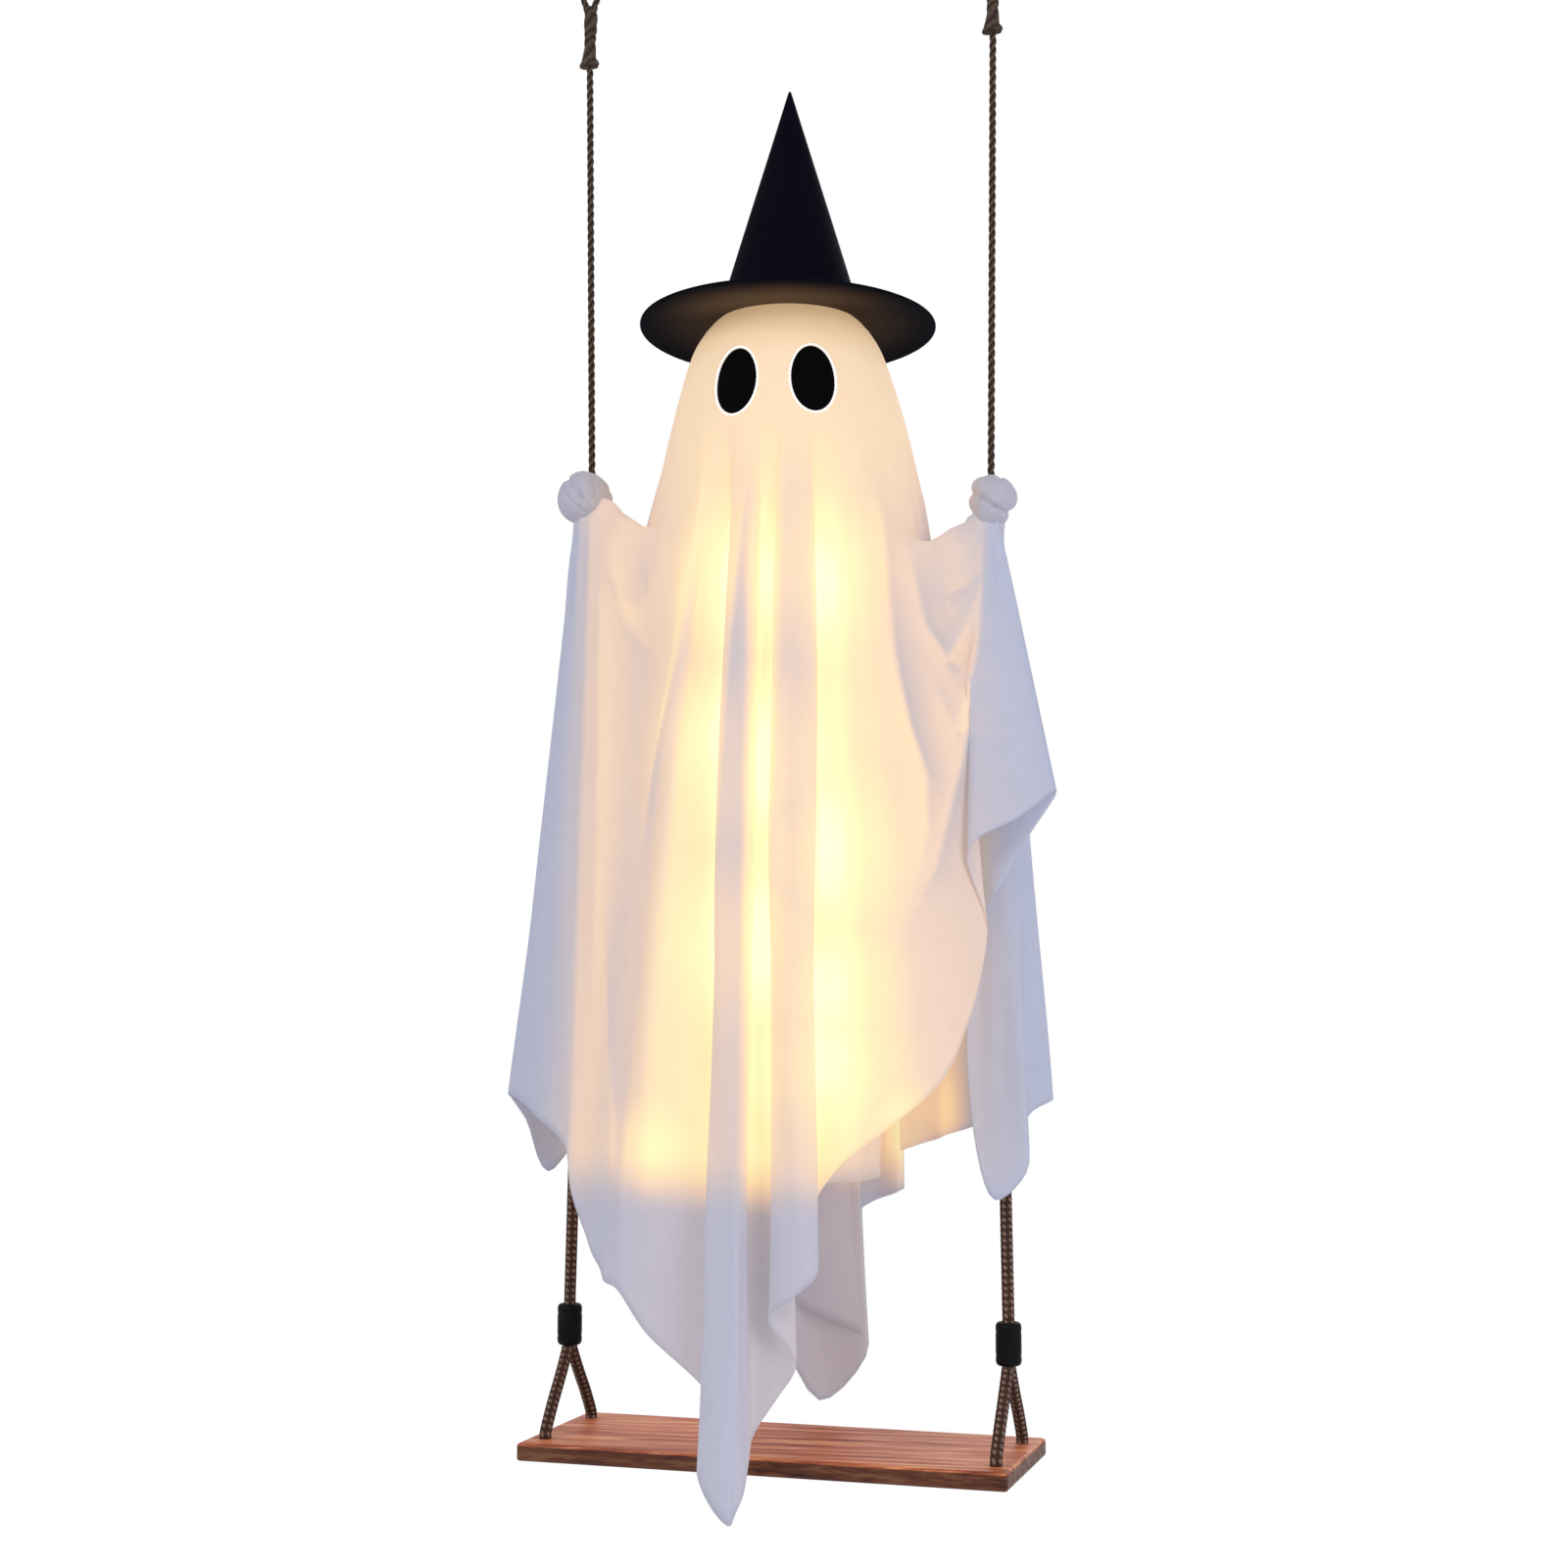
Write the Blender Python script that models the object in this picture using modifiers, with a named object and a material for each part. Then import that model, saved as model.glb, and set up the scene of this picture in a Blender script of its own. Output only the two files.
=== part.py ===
"""A hanging cloth ghost with a pointed hat, holding the two ropes of a swing seat.

Units are metres, +Z up. The ghost looks along -Y, and +X is on the viewer's right.
The origin is midway between the two hanging loops, at the height of the hooks that they hang on.
"""
import math

import bmesh
import bpy
import numpy as np
from mathutils import Matrix, Vector

# Clearances
GAP = 0.0003
CLOTH_EASE = 0.0013
ROPE_EASE = 0.0004

# Ropes, from the hooks down
HOOK_SPACING = 0.358
HAND_SPACING = 0.348
UPPER_ROPE = 0.006
LOWER_ROPE = 0.010
LOOP_HEIGHT = 0.077
LOOP_WIDTH = 0.030
LOOP_IN_KNOT = 0.004
LOOP_LEG_OFFSET = 0.0026
KNOT_LENGTH = 0.054
KNOT_RADIUS = 0.0064
KNOT_TURNS = 5
KNOT_VALLEY_SHARE = 0.80
LEFT_HAND_Z = -0.519
RIGHT_HAND_Z = -0.536
FERRULE_TOP_Z = -1.211
FERRULE_RADIUS = 0.0104
FERRULE_HEIGHT = 0.034
FERRULE_SOCKET = 0.012
FERRULE_EDGE = 0.004
ROPE_ABOVE_FERRULE = 0.004
ROPE_BELOW_STUB = 0.002

# Seat
SEAT_LENGTH = 0.409
SEAT_DEPTH = 0.154
SEAT_THICKNESS = 0.0145
SEAT_TWIST = math.radians(-5.5)
# The swing hangs a little to the left of the middle between the hands.
SWING_X = -0.0045
SEAT_EDGE = 0.0025
HOLE_PITCH = 0.100
HOLE_INSET = 0.0145
YOKE_DROP = 0.0695
YOKE_STRAIGHT = 0.004
YOKE_OVER_HOLE = 0.008
YOKE_LEAN = 0.0015
YOKE_BEND = 0.009
YOKE_PROUD = 0.004
HOLE_CUT_ABOVE = 0.004

# Hat
BRIM_Z = -0.374
BRIM_RADIUS = 0.125
HAT_HEIGHT = 0.206
HAT_TIP = 0.0035
HAT_TIP_ROUND = 0.004
HAT_TIP_WALL = 0.012
FELT = 0.002
FELT_EDGE = 0.0006
HAT_SEAT_RADIUS = 0.0605

# Head and what hangs from it
HEAD_RADIUS = 0.0865
HEAD_WALL = 0.0015
HEAD_CUT = math.radians(112)
PLATE_WALL = 0.003
PLATE_SKIRT = 0.016
PLATE_LIP = 0.0025
POST_RADIUS = 0.007
POST_BELOW_WIRE = 0.008
COLLAR_HEIGHT = 0.006
COLLAR_WIDTH = 0.004
WIRE_RADIUS = 0.0025
WIRE_BELOW_PLATE = 0.0476
WIRE_UNDER_VALLEY = 0.012
WIRE_SEAT = 0.0035
WIRE_PAST_STUB = 0.006
WIRE_SLIT_EASE = 0.0012
# How far the wire lies under the middle of a stub at its first bends, and under its neck at the last.
WIRE_DIPS = (0.005, 0.008, 0.016, 0.006)
# Where the wire bends, as shares of the way from the middle to a hand.
WIRE_BEND_SHARES = (0.77, 0.575, 0.345, 0.126)

# Eyes
EYE_WIDTH = 0.033
EYE_HEIGHT = 0.056
EYE_SPACING = 0.063
EYE_DROP = 0.006
EYE_FELT = 0.0012
FACE_TURN = math.radians(4.4)

# Fists
FIST_RADIUS = 0.0235
FIST_HEIGHT = 0.044
STUB_RADIUS = 0.0108
STUB_LENGTH = 0.020
STUB_EASE = 0.0008
# The fist's side view: share of its radius, share of its half height.
FIST_PROFILE_SHARES = (
    (0.50, 1.00), (0.80, 0.72), (0.92, 0.40), (0.86, 0.28), (1.00, 0.06),
    (0.97, -0.30), (0.84, -0.42), (0.86, -0.72), (0.62, -0.95),
)

# Drape
CLOTH = 0.001
NECK_DROP = 0.030
NECK_EASE = 0.0077
NECK_FRONT_EASE = 0.0037
NECK_FRONT_SHARE = 1.6
VALLEY_SHARE = 0.36
LEFT_VALLEY_SAG = 0.056
RIGHT_VALLEY_SAG = 0.073
SHOULDER_DROP = 0.181
STUB_HOLE_ABOVE = 0.022
STUB_HOLE_BELOW = 0.034
COLUMNS_PER_LINE = 2
LINING_ROWS_COUNT = 6

# Lining and light
LINING_TOP_DROP = 0.004
LINING_HEM_Z = -1.100
LINING_HEM_WIDTH = 0.208
LINING_HEM_DEPTH = 0.172
LINING_HEM_X = -0.028
LINING_CLOTH = 0.0008
LINING_SIDES = 24
BOX_WIDTH = 0.060
BOX_DEPTH = 0.024
BOX_HEIGHT = 0.062
BOX_LID = 0.002
BOX_EDGE = 0.0008
LID_MARGIN = 0.002
BOX_BEHIND_POST = 0.002
LIGHT_WIRE = 0.0008
BEAD_RADIUS = 0.0034
BEAD_LENGTH = 0.011
BEADS = 8
BENDS_PER_BEAD = 4
BEAD_INSET = 0.0012
LIGHT_TURNS = 2.5
LIGHT_TOP_DROP = 0.1636
LIGHT_ABOVE_HEM = 0.025
LIGHT_LEAD = 0.020
LIGHT_LEAD_BACK = 0.002

# Places worked out from the sizes above
CLOTH_INNER = HEAD_RADIUS + CLOTH_EASE
CLOTH_OUTER = CLOTH_INNER + CLOTH
HEAD_Z = BRIM_Z - FELT / 2 - math.sqrt(CLOTH_OUTER ** 2 - HAT_SEAT_RADIUS ** 2)
SHOULDER_Z = HEAD_Z - SHOULDER_DROP
NECK_Z = HEAD_Z - NECK_DROP
NECK_RADIUS = CLOTH_OUTER + NECK_EASE
NECK_FRONT_RADIUS = CLOTH_OUTER + NECK_FRONT_EASE
PLATE_Z = HEAD_Z + HEAD_RADIUS * math.cos(HEAD_CUT)
PLATE_RADIUS = (HEAD_RADIUS - HEAD_WALL) * math.sin(HEAD_CUT) - GAP
WIRE_NECK_Z = PLATE_Z - WIRE_BELOW_PLATE
LINING_TOP_Z = PLATE_Z - LINING_TOP_DROP
LINING_TOP_RADIUS = (PLATE_RADIUS + GAP) / math.cos(math.pi / LINING_SIDES) + LINING_CLOTH
LIGHT_TOP_Z = LINING_TOP_Z - LIGHT_TOP_DROP
LIGHT_BOTTOM_Z = LINING_HEM_Z + LIGHT_ABOVE_HEM
KNOT_BOTTOM_Z = -LOOP_HEIGHT - KNOT_LENGTH
HAND_X = HAND_SPACING / 2
HOLE_SPACING = SEAT_LENGTH - 2 * HOLE_INSET
SEAT_TOP_Z = FERRULE_TOP_Z - FERRULE_HEIGHT - YOKE_DROP
SHOULDER_RING_DROP = FIST_HEIGHT / 2
HAND_Z = {-1: LEFT_HAND_Z, 1: RIGHT_HAND_Z}
SIDE_NAME = {-1: "left", 1: "right"}

# Each fold line runs from the shoulder line to the hem: where it starts and where it ends.
# The sleeve lines start at the hand: their first point is measured outward from the rope,
# forward or back of it, and down from the cloth's ring under the fist.
LEFT_SLEEVE_FRONT = [
    ((0.019, 0.000, 0.000), (-0.244, 0.000, -1.034)),
    ((0.015, -0.011, 0.000), (-0.213, -0.030, -1.049)),
    ((0.003, -0.019, -0.002), (-0.178, -0.050, -1.074)),
    ((-0.014, -0.026, -0.012), (-0.170, -0.057, -1.110)),
    ((-0.034, -0.036, -0.034), (-0.158, -0.066, -1.140)),
]
# The body's front lines start on the shoulder line, measured down from it.
FRONT = [
    ((-0.106, -0.057, 0.022), (-0.141, -0.082, -1.164)),
    ((-0.084, -0.072, 0.008), (-0.130, -0.091, -1.178)),
    ((-0.065, -0.094, 0.002), (-0.115, -0.103, -1.192)),
    ((-0.053, -0.090, 0.001), (-0.082, -0.106, -1.246)),
    ((-0.031, -0.093, 0.000), (-0.034, -0.115, -1.273)),
    ((-0.024, -0.102, 0.000), (-0.042, -0.138, -1.317)),
    ((-0.015, -0.106, 0.000), (-0.014, -0.149, -1.352)),
    ((-0.007, -0.102, 0.000), (-0.007, -0.140, -1.332)),
    ((-0.003, -0.094, 0.000), (-0.003, -0.122, -1.293)),
    ((0.003, -0.093, 0.000), (0.017, -0.116, -1.259)),
    ((0.009, -0.094, 0.000), (0.033, -0.123, -1.234)),
    ((0.015, -0.101, 0.000), (0.012, -0.134, -1.198)),
    ((0.028, -0.106, 0.000), (0.034, -0.147, -1.181)),
    ((0.040, -0.102, 0.000), (0.052, -0.140, -1.162)),
    ((0.045, -0.094, 0.000), (0.040, -0.121, -1.128)),
    ((0.056, -0.093, 0.000), (0.061, -0.113, -1.087)),
    ((0.074, -0.092, 0.000), (0.103, -0.110, -1.053)),
    ((0.092, -0.084, 0.000), (0.141, -0.094, -1.019)),
    ((0.114, -0.061, 0.010), (0.162, -0.073, -0.969)),
]
RIGHT_SLEEVE_FRONT = [
    ((-0.034, -0.036, -0.034), (0.174, -0.048, -0.898)),
    ((-0.014, -0.026, -0.014), (0.161, -0.062, -0.833)),
    ((0.001, -0.020, -0.004), (0.201, -0.056, -0.808)),
    ((0.012, -0.014, 0.000), (0.230, -0.034, -0.785)),
    ((0.016, -0.010, 0.000), (0.197, -0.042, -0.838)),
    ((0.018, -0.006, 0.000), (0.160, -0.032, -0.915)),
    ((0.019, -0.002, 0.000), (0.158, -0.037, -1.058)),
    ((0.019, 0.002, 0.000), (0.172, -0.038, -1.114)),
    ((0.018, 0.006, 0.000), (0.201, -0.031, -1.092)),
    ((0.016, 0.010, 0.000), (0.219, 0.000, -1.034)),
]
RIGHT_SLEEVE_BACK = [
    ((0.009, 0.015, -0.002), (0.190, 0.032, -1.028)),
    ((-0.006, 0.023, -0.008), (0.150, 0.060, -1.058)),
    ((-0.034, 0.036, -0.034), (0.120, 0.090, -1.070)),
]
BACK = [
    ((0.098, 0.066, 0.014), (0.093, 0.112, -1.079)),
    ((0.079, 0.084, 0.000), (0.038, 0.128, -1.103)),
    ((0.069, 0.086, 0.000), (0.075, 0.118, -1.118)),
    ((0.058, 0.092, 0.000), (0.044, 0.122, -1.133)),
    ((0.040, 0.099, 0.000), (-0.029, 0.116, -1.205)),
    ((0.028, 0.098, 0.000), (0.004, 0.106, -1.300)),
    ((0.016, 0.102, 0.000), (0.052, 0.094, -1.248)),
    ((0.000, 0.108, 0.000), (-0.004, 0.102, -1.222)),
    ((-0.020, 0.106, 0.000), (-0.063, 0.116, -1.190)),
    ((-0.042, 0.096, 0.000), (-0.088, 0.128, -1.176)),
    ((-0.064, 0.090, 0.000), (-0.116, 0.116, -1.166)),
    ((-0.084, 0.078, 0.006), (-0.140, 0.108, -1.150)),
    ((-0.106, 0.058, 0.020), (-0.168, 0.086, -1.130)),
]
LEFT_SLEEVE_BACK = [
    ((-0.034, 0.036, -0.034), (-0.188, 0.062, -1.100)),
    ((-0.010, 0.025, -0.010), (-0.208, 0.045, -1.124)),
    ((0.009, 0.016, -0.001), (-0.229, 0.017, -1.066)),
]
# Angles from the crown at which the dome and the cloth on it have a ring of points.
DOME_ANGLES = tuple(map(math.radians, (0, 24, 46, 60, 74, 88)))
# How many rows of cloth lie between each two stations of a fold line, from the crown down.
ROW_COUNTS = (1, 1, 1, 1, 1, 1, 1, 2, 1, 2, 2, 2)


def wipe():
    """Empty the file, with the meshes, curves and materials that the objects used."""
    for obj in list(bpy.data.objects):
        bpy.data.objects.remove(obj, do_unlink=True)
    for blocks in (bpy.data.meshes, bpy.data.curves, bpy.data.materials, bpy.data.collections):
        for block in list(blocks):
            blocks.remove(block)


def new_collection(name):
    group = bpy.data.collections.new(name)
    bpy.context.scene.collection.children.link(group)
    return group


def material(name, color, roughness, metallic=0.0):
    finish = bpy.data.materials.new(name)
    finish.use_nodes = True
    shader = finish.node_tree.nodes["Principled BSDF"]
    shader.inputs["Base Color"].default_value = (*color, 1.0)
    shader.inputs["Roughness"].default_value = roughness
    shader.inputs["Metallic"].default_value = metallic
    finish.diffuse_color = (*color, 1.0)
    return finish


def add(name, data, finish, group):
    """Make an object of a mesh or a curve, in a collection, with its material."""
    obj = bpy.data.objects.new(name, data)
    group.objects.link(obj)
    if finish:
        data.materials.append(finish)
    return obj


def make_cutter(obj):
    obj.hide_render = True
    obj.display_type = "WIRE"
    return obj


def cut(obj, cutter, operation="DIFFERENCE"):
    step = obj.modifiers.new(operation.lower(), "BOOLEAN")
    step.operation = operation
    step.object = cutter
    step.solver = "EXACT"


def smooth(mesh, angle=40):
    mesh.shade_smooth()
    mesh.set_sharp_from_angle(angle=math.radians(angle))


def turned(name, outline, finish, group, steps=32):
    """A solid turned about Z from its outline: (radius, height) points, down the outer side first."""
    mesh = bpy.data.meshes.new(name)
    points = [(r, 0.0, z) for r, z in outline]
    ring = [(i, (i + 1) % len(points)) for i in range(len(points))]
    edges = [(a, b) for a, b in ring if points[a][0] > 0 or points[b][0] > 0]
    mesh.from_pydata(points, edges, [])
    obj = add(name, mesh, finish, group)
    screw = obj.modifiers.new("turn", "SCREW")
    screw.steps = steps
    screw.render_steps = steps
    screw.use_merge_vertices = True
    screw.merge_threshold = 0.00001
    screw.use_smooth_shade = True
    return obj


def tube_curve(name, points, radius, resolution=2, closed=False, swell=None):
    """A round bar along the points; swell gives each point's share of the radius."""
    curve = bpy.data.curves.new(name, "CURVE")
    curve.dimensions = "3D"
    curve.bevel_depth = radius
    curve.bevel_resolution = resolution
    curve.use_fill_caps = not closed
    spline = curve.splines.new("POLY")
    spline.points.add(len(points) - 1)
    spline.use_cyclic_u = closed
    for index, place in enumerate(points):
        spline.points[index].co = (*place, 1.0)
        if swell:
            spline.points[index].radius = swell[index]
    return curve


def mesh_from_curve(name, curve, finish, group):
    """The curve's bar as a welded mesh object, which a Boolean can use."""
    bare = bpy.data.objects.new(name + "_curve", curve)
    group.objects.link(bare)
    bpy.context.view_layer.update()
    seen = bare.evaluated_get(bpy.context.evaluated_depsgraph_get())
    mesh = bpy.data.meshes.new_from_object(seen)
    bpy.data.objects.remove(bare, do_unlink=True)
    welded = bmesh.new()
    welded.from_mesh(mesh)
    bmesh.ops.remove_doubles(welded, verts=welded.verts, dist=0.00001)
    bmesh.ops.recalc_face_normals(welded, faces=welded.faces)
    welded.to_mesh(mesh)
    welded.free()
    mesh.materials.clear()
    return add(name, mesh, finish, group)


def bar_mesh(name, points, radius, finish, group, resolution=2):
    return mesh_from_curve(name, tube_curve(name, points, radius, resolution), finish, group)


def catmull_rom(stations, knots, counts):
    """Points along a smooth curve through the stations, with counts[i] steps after station i.

    A station may be one point or a whole array of points; knots are the stations' places.
    """
    first = stations[0] * 2 - stations[1]
    last = stations[-1] * 2 - stations[-2]
    places = [first, *stations, last]
    at = [2 * knots[0] - knots[1], *knots, 2 * knots[-1] - knots[-2]]
    points = []
    for i, count in enumerate(counts):
        for step in range(count):
            t = at[i + 1] + (at[i + 2] - at[i + 1]) * step / count
            points.append(barry_goldman(places[i:i + 4], at[i:i + 4], t))
    points.append(stations[-1])
    return points


def barry_goldman(p, t, at):
    """The point at knot value at of the Catmull-Rom piece through four points with knots t."""
    def mix(a, b, ta, tb):
        return a * ((tb - at) / (tb - ta)) + b * ((at - ta) / (tb - ta))

    a1 = mix(p[0], p[1], t[0], t[1])
    a2 = mix(p[1], p[2], t[1], t[2])
    a3 = mix(p[2], p[3], t[2], t[3])
    b1 = mix(a1, a2, t[0], t[2])
    b2 = mix(a2, a3, t[1], t[3])
    return mix(b1, b2, t[1], t[2])


def centripetal_knots(points):
    steps = [math.sqrt(max(float(np.linalg.norm(b - a)), 1e-4)) for a, b in zip(points, points[1:])]
    return [0.0, *np.cumsum(steps)]


def fold_lines():
    """Every fold line as (shoulder point, hem point, share of the hand's pull, side), left to front."""
    lines = []
    groups = (
        (-1, LEFT_SLEEVE_FRONT), (0, FRONT), (1, RIGHT_SLEEVE_FRONT),
        (1, RIGHT_SLEEVE_BACK), (0, BACK), (-1, LEFT_SLEEVE_BACK),
    )
    for side, rows in groups:
        for (x, y, z), hem in rows:
            near_hand = side or (-1 if x < 0 else 1)
            ring = HAND_Z[near_hand] - SHOULDER_RING_DROP
            if side:
                start = (side * (HAND_X + x), y, ring + z)
            else:
                start = (x, y, SHOULDER_Z + z)
            pull = min(1.0, max(0.0, (start[2] - SHOULDER_Z) / (ring - SHOULDER_Z)))
            lines.append((np.array(start), np.array(hem), pull, near_hand < 0))
    return lines


def cloth_column(start, hem, pull, on_left):
    """One fold line of the cloth's outer face, from the crown of the head to the hem."""
    bearing = math.atan2(start[1], start[0])
    out = np.array([math.cos(bearing), math.sin(bearing), 0.0])
    up = np.array([0.0, 0.0, 1.0])
    centre = np.array([0.0, 0.0, HEAD_Z])
    dome = [centre + CLOTH_OUTER * (math.sin(a) * out + math.cos(a) * up)
            for a in DOME_ANGLES]
    ahead = max(0.0, -math.sin(bearing))
    radius = NECK_RADIUS + (NECK_FRONT_RADIUS - NECK_RADIUS) * min(1.0, NECK_FRONT_SHARE * ahead)
    neck = out * radius + up * NECK_Z
    sag = (LEFT_VALLEY_SAG if on_left else RIGHT_VALLEY_SAG) * pull
    valley = neck + (start - neck) * VALLEY_SHARE - sag * up
    fall = hem - start
    stations = [*dome, neck, valley, start, start + 0.04 * fall, start + 0.33 * fall,
                start + 0.66 * fall, hem]
    return catmull_rom(stations, centripetal_knots(stations), ROW_COUNTS)


def cloth_grid(columns_per_line):
    """The cloth's outer face as an array of columns, each an array of points from crown to hem."""
    lines = fold_lines()
    columns = [np.array(cloth_column(*line)) for line in lines]
    wrapped = [columns[-1], *columns, columns[0], columns[1]]
    knots = centripetal_knots([column[-1] for column in wrapped])
    grid = []
    for i in range(1, len(columns) + 1):
        for step in range(columns_per_line):
            t = knots[i] + (knots[i + 1] - knots[i]) * step / columns_per_line
            grid.append(barry_goldman(wrapped[i - 1:i + 3], knots[i - 1:i + 3], t))
    return rest_on_head(np.array(grid))


def rest_on_head(grid):
    """Move what lies inside the draped head out to its surface."""
    centre = np.array([0.0, 0.0, HEAD_Z])
    away = grid - centre
    distance = np.linalg.norm(away, axis=2, keepdims=True)
    return centre + away * np.maximum(1.0, CLOTH_OUTER / distance)


def build_drape(finish, group, cutters):
    """One sheet over the head and both hands, with a hole for each fist's stub."""
    grid = cloth_grid(COLUMNS_PER_LINE)
    count, rows = grid.shape[:2]
    crown = grid[0][0]
    points = [tuple(crown)] + [tuple(p) for column in grid for p in column[1:]]

    def index(column, row):
        return 0 if row == 0 else 1 + (column % count) * (rows - 1) + row - 1

    faces = []
    for column in range(count):
        for row in range(rows - 1):
            corners = [index(column, row), index(column, row + 1),
                       index(column + 1, row + 1), index(column + 1, row)]
            faces.append(corners if row else corners[:3])
    mesh = bpy.data.meshes.new("drape")
    mesh.from_pydata(points, [], faces)
    drape = add("drape", mesh, finish, group)
    thick = drape.modifiers.new("thickness", "SOLIDIFY")
    thick.thickness = CLOTH
    thick.offset = -1.0
    for side in (-1, 1):
        wide = STUB_RADIUS + STUB_EASE
        outline = [(0.0, STUB_HOLE_ABOVE), (wide, STUB_HOLE_ABOVE),
                   (wide, -STUB_HOLE_BELOW), (0.0, -STUB_HOLE_BELOW)]
        plug = turned("stub_hole_" + SIDE_NAME[side], outline, None, cutters, 20)
        plug.location = (side * HAND_X, 0.0, HAND_Z[side] - SHOULDER_RING_DROP)
        cut(drape, make_cutter(plug))
    smooth(mesh, 75)
    return drape


def build_lining(finish, group, cutters, wire_hole):
    """A tube of thin cloth round the neck plate, wider at its hem, with two slits for the wire."""
    sides = LINING_SIDES
    points, faces = [], []
    heights = np.linspace(0.0, 1.0, LINING_ROWS_COUNT)
    for share in heights:
        z = LINING_TOP_Z + (LINING_HEM_Z - LINING_TOP_Z) * share
        middle, wide, deep = lining_section(z)
        for k in range(sides):
            a = math.tau * k / sides
            points.append((middle + wide * math.cos(a), deep * math.sin(a), z))
    for row in range(len(heights) - 1):
        for k in range(sides):
            a, b = row * sides + k, row * sides + (k + 1) % sides
            faces.append((a, a + sides, b + sides, b))
    mesh = bpy.data.meshes.new("lining")
    mesh.from_pydata(points, [], faces)
    lining = add("lining", mesh, finish, group)
    thick = lining.modifiers.new("thickness", "SOLIDIFY")
    thick.thickness = LINING_CLOTH
    thick.offset = -1.0
    cut(lining, wire_hole)
    smooth(mesh)
    return lining


def lining_section(z):
    """The lining's oval at a height: its middle's X, its outer half width and its half depth."""
    share = (z - LINING_TOP_Z) / (LINING_HEM_Z - LINING_TOP_Z)
    wide = LINING_TOP_RADIUS + (LINING_HEM_WIDTH / 2 - LINING_TOP_RADIUS) * share
    deep = LINING_TOP_RADIUS + (LINING_HEM_DEPTH / 2 - LINING_TOP_RADIUS) * share
    return LINING_HEM_X * share, wide, deep


def build_light(finish, group):
    """The lamp wire: out of the battery box, then round and down the inside of the lining."""
    box_bottom = PLATE_Z - PLATE_WALL - GAP - BOX_HEIGHT
    inset = LINING_CLOTH + BEAD_RADIUS + BEAD_INSET
    outlet = POST_RADIUS + BOX_BEHIND_POST + BOX_DEPTH / 2
    points = [(0.0, outlet, box_bottom - GAP), (0.0, outlet + LIGHT_LEAD_BACK, box_bottom - LIGHT_LEAD)]
    swell = [1.0, 1.0]
    total = BEADS * BENDS_PER_BEAD
    bead_swell = BEAD_RADIUS / LIGHT_WIRE
    for k in range(total + 1):
        share = k / total
        turn = math.tau * LIGHT_TURNS * share + math.pi / 2
        z = LIGHT_TOP_Z + (LIGHT_BOTTOM_Z - LIGHT_TOP_Z) * share
        middle, wide, deep = lining_section(z)
        place = Vector((middle + (wide - inset) * math.cos(turn), (deep - inset) * math.sin(turn), z))
        if k % BENDS_PER_BEAD == BENDS_PER_BEAD // 2:
            along = Vector((-wide * math.sin(turn), deep * math.cos(turn), 0.0)).normalized()
            half = along * BEAD_LENGTH / 2
            for offset, size in ((-1.0, 1.0), (-0.8, bead_swell), (0.8, bead_swell), (1.0, 1.0)):
                points.append(tuple(place + half * offset))
                swell.append(size)
        else:
            points.append(tuple(place))
            swell.append(1.0)
    curve = tube_curve("light_string", points, LIGHT_WIRE, 2, False, swell)
    return add("light_string", curve, finish, group)


def build_hat(felt, group):
    """The pointed crown stands on the brim; both are felt of one thickness."""
    crown_base = BRIM_Z + FELT / 2 + GAP
    tip = BRIM_Z + HAT_HEIGHT
    outer = HAT_SEAT_RADIUS + FELT
    slope = (outer - HAT_TIP) / (tip - crown_base)
    inner_top = tip - HAT_TIP_WALL
    half_way = (tip - HAT_TIP_ROUND - crown_base) * 0.5
    outline = [
        (0.0, tip), (HAT_TIP * 0.7, tip - HAT_TIP_ROUND * 0.25), (HAT_TIP, tip - HAT_TIP_ROUND),
        (HAT_TIP + slope * half_way, crown_base + half_way),
        (outer, crown_base), (HAT_SEAT_RADIUS, crown_base),
        (HAT_SEAT_RADIUS * 0.5, crown_base + (inner_top - crown_base) * 0.5), (0.0, inner_top),
    ]
    turned("hat_crown", outline, felt, group, 32)
    low, high = BRIM_Z - FELT / 2, BRIM_Z + FELT / 2
    inner = HAT_SEAT_RADIUS + 2 * GAP
    turned("hat_brim", [
        (inner, high), (BRIM_RADIUS - FELT_EDGE, high), (BRIM_RADIUS, high - FELT_EDGE),
        (BRIM_RADIUS, low + FELT_EDGE), (BRIM_RADIUS - FELT_EDGE, low), (inner, low),
    ], felt, group, 36)


def build_head(plastic, group):
    """The dome that the cloth lies on, open below, and the plate that closes it."""
    arc = [*DOME_ANGLES, (DOME_ANGLES[-1] + HEAD_CUT) / 2, HEAD_CUT]
    inner = HEAD_RADIUS - HEAD_WALL
    outline = [(HEAD_RADIUS * math.sin(a), HEAD_Z + HEAD_RADIUS * math.cos(a)) for a in arc]
    outline += [(inner * math.sin(a), HEAD_Z + inner * math.cos(a)) for a in reversed(arc)]
    turned("head_shell", outline, plastic, group, 28)
    top, low = PLATE_Z, PLATE_Z - PLATE_WALL
    post = POST_RADIUS + GAP
    lip = PLATE_RADIUS - PLATE_LIP
    turned("neck_plate", [
        (post, top), (PLATE_RADIUS, top), (PLATE_RADIUS, top - PLATE_SKIRT),
        (lip, top - PLATE_SKIRT), (lip, low), (post, low),
    ], plastic, group, 28)


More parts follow.
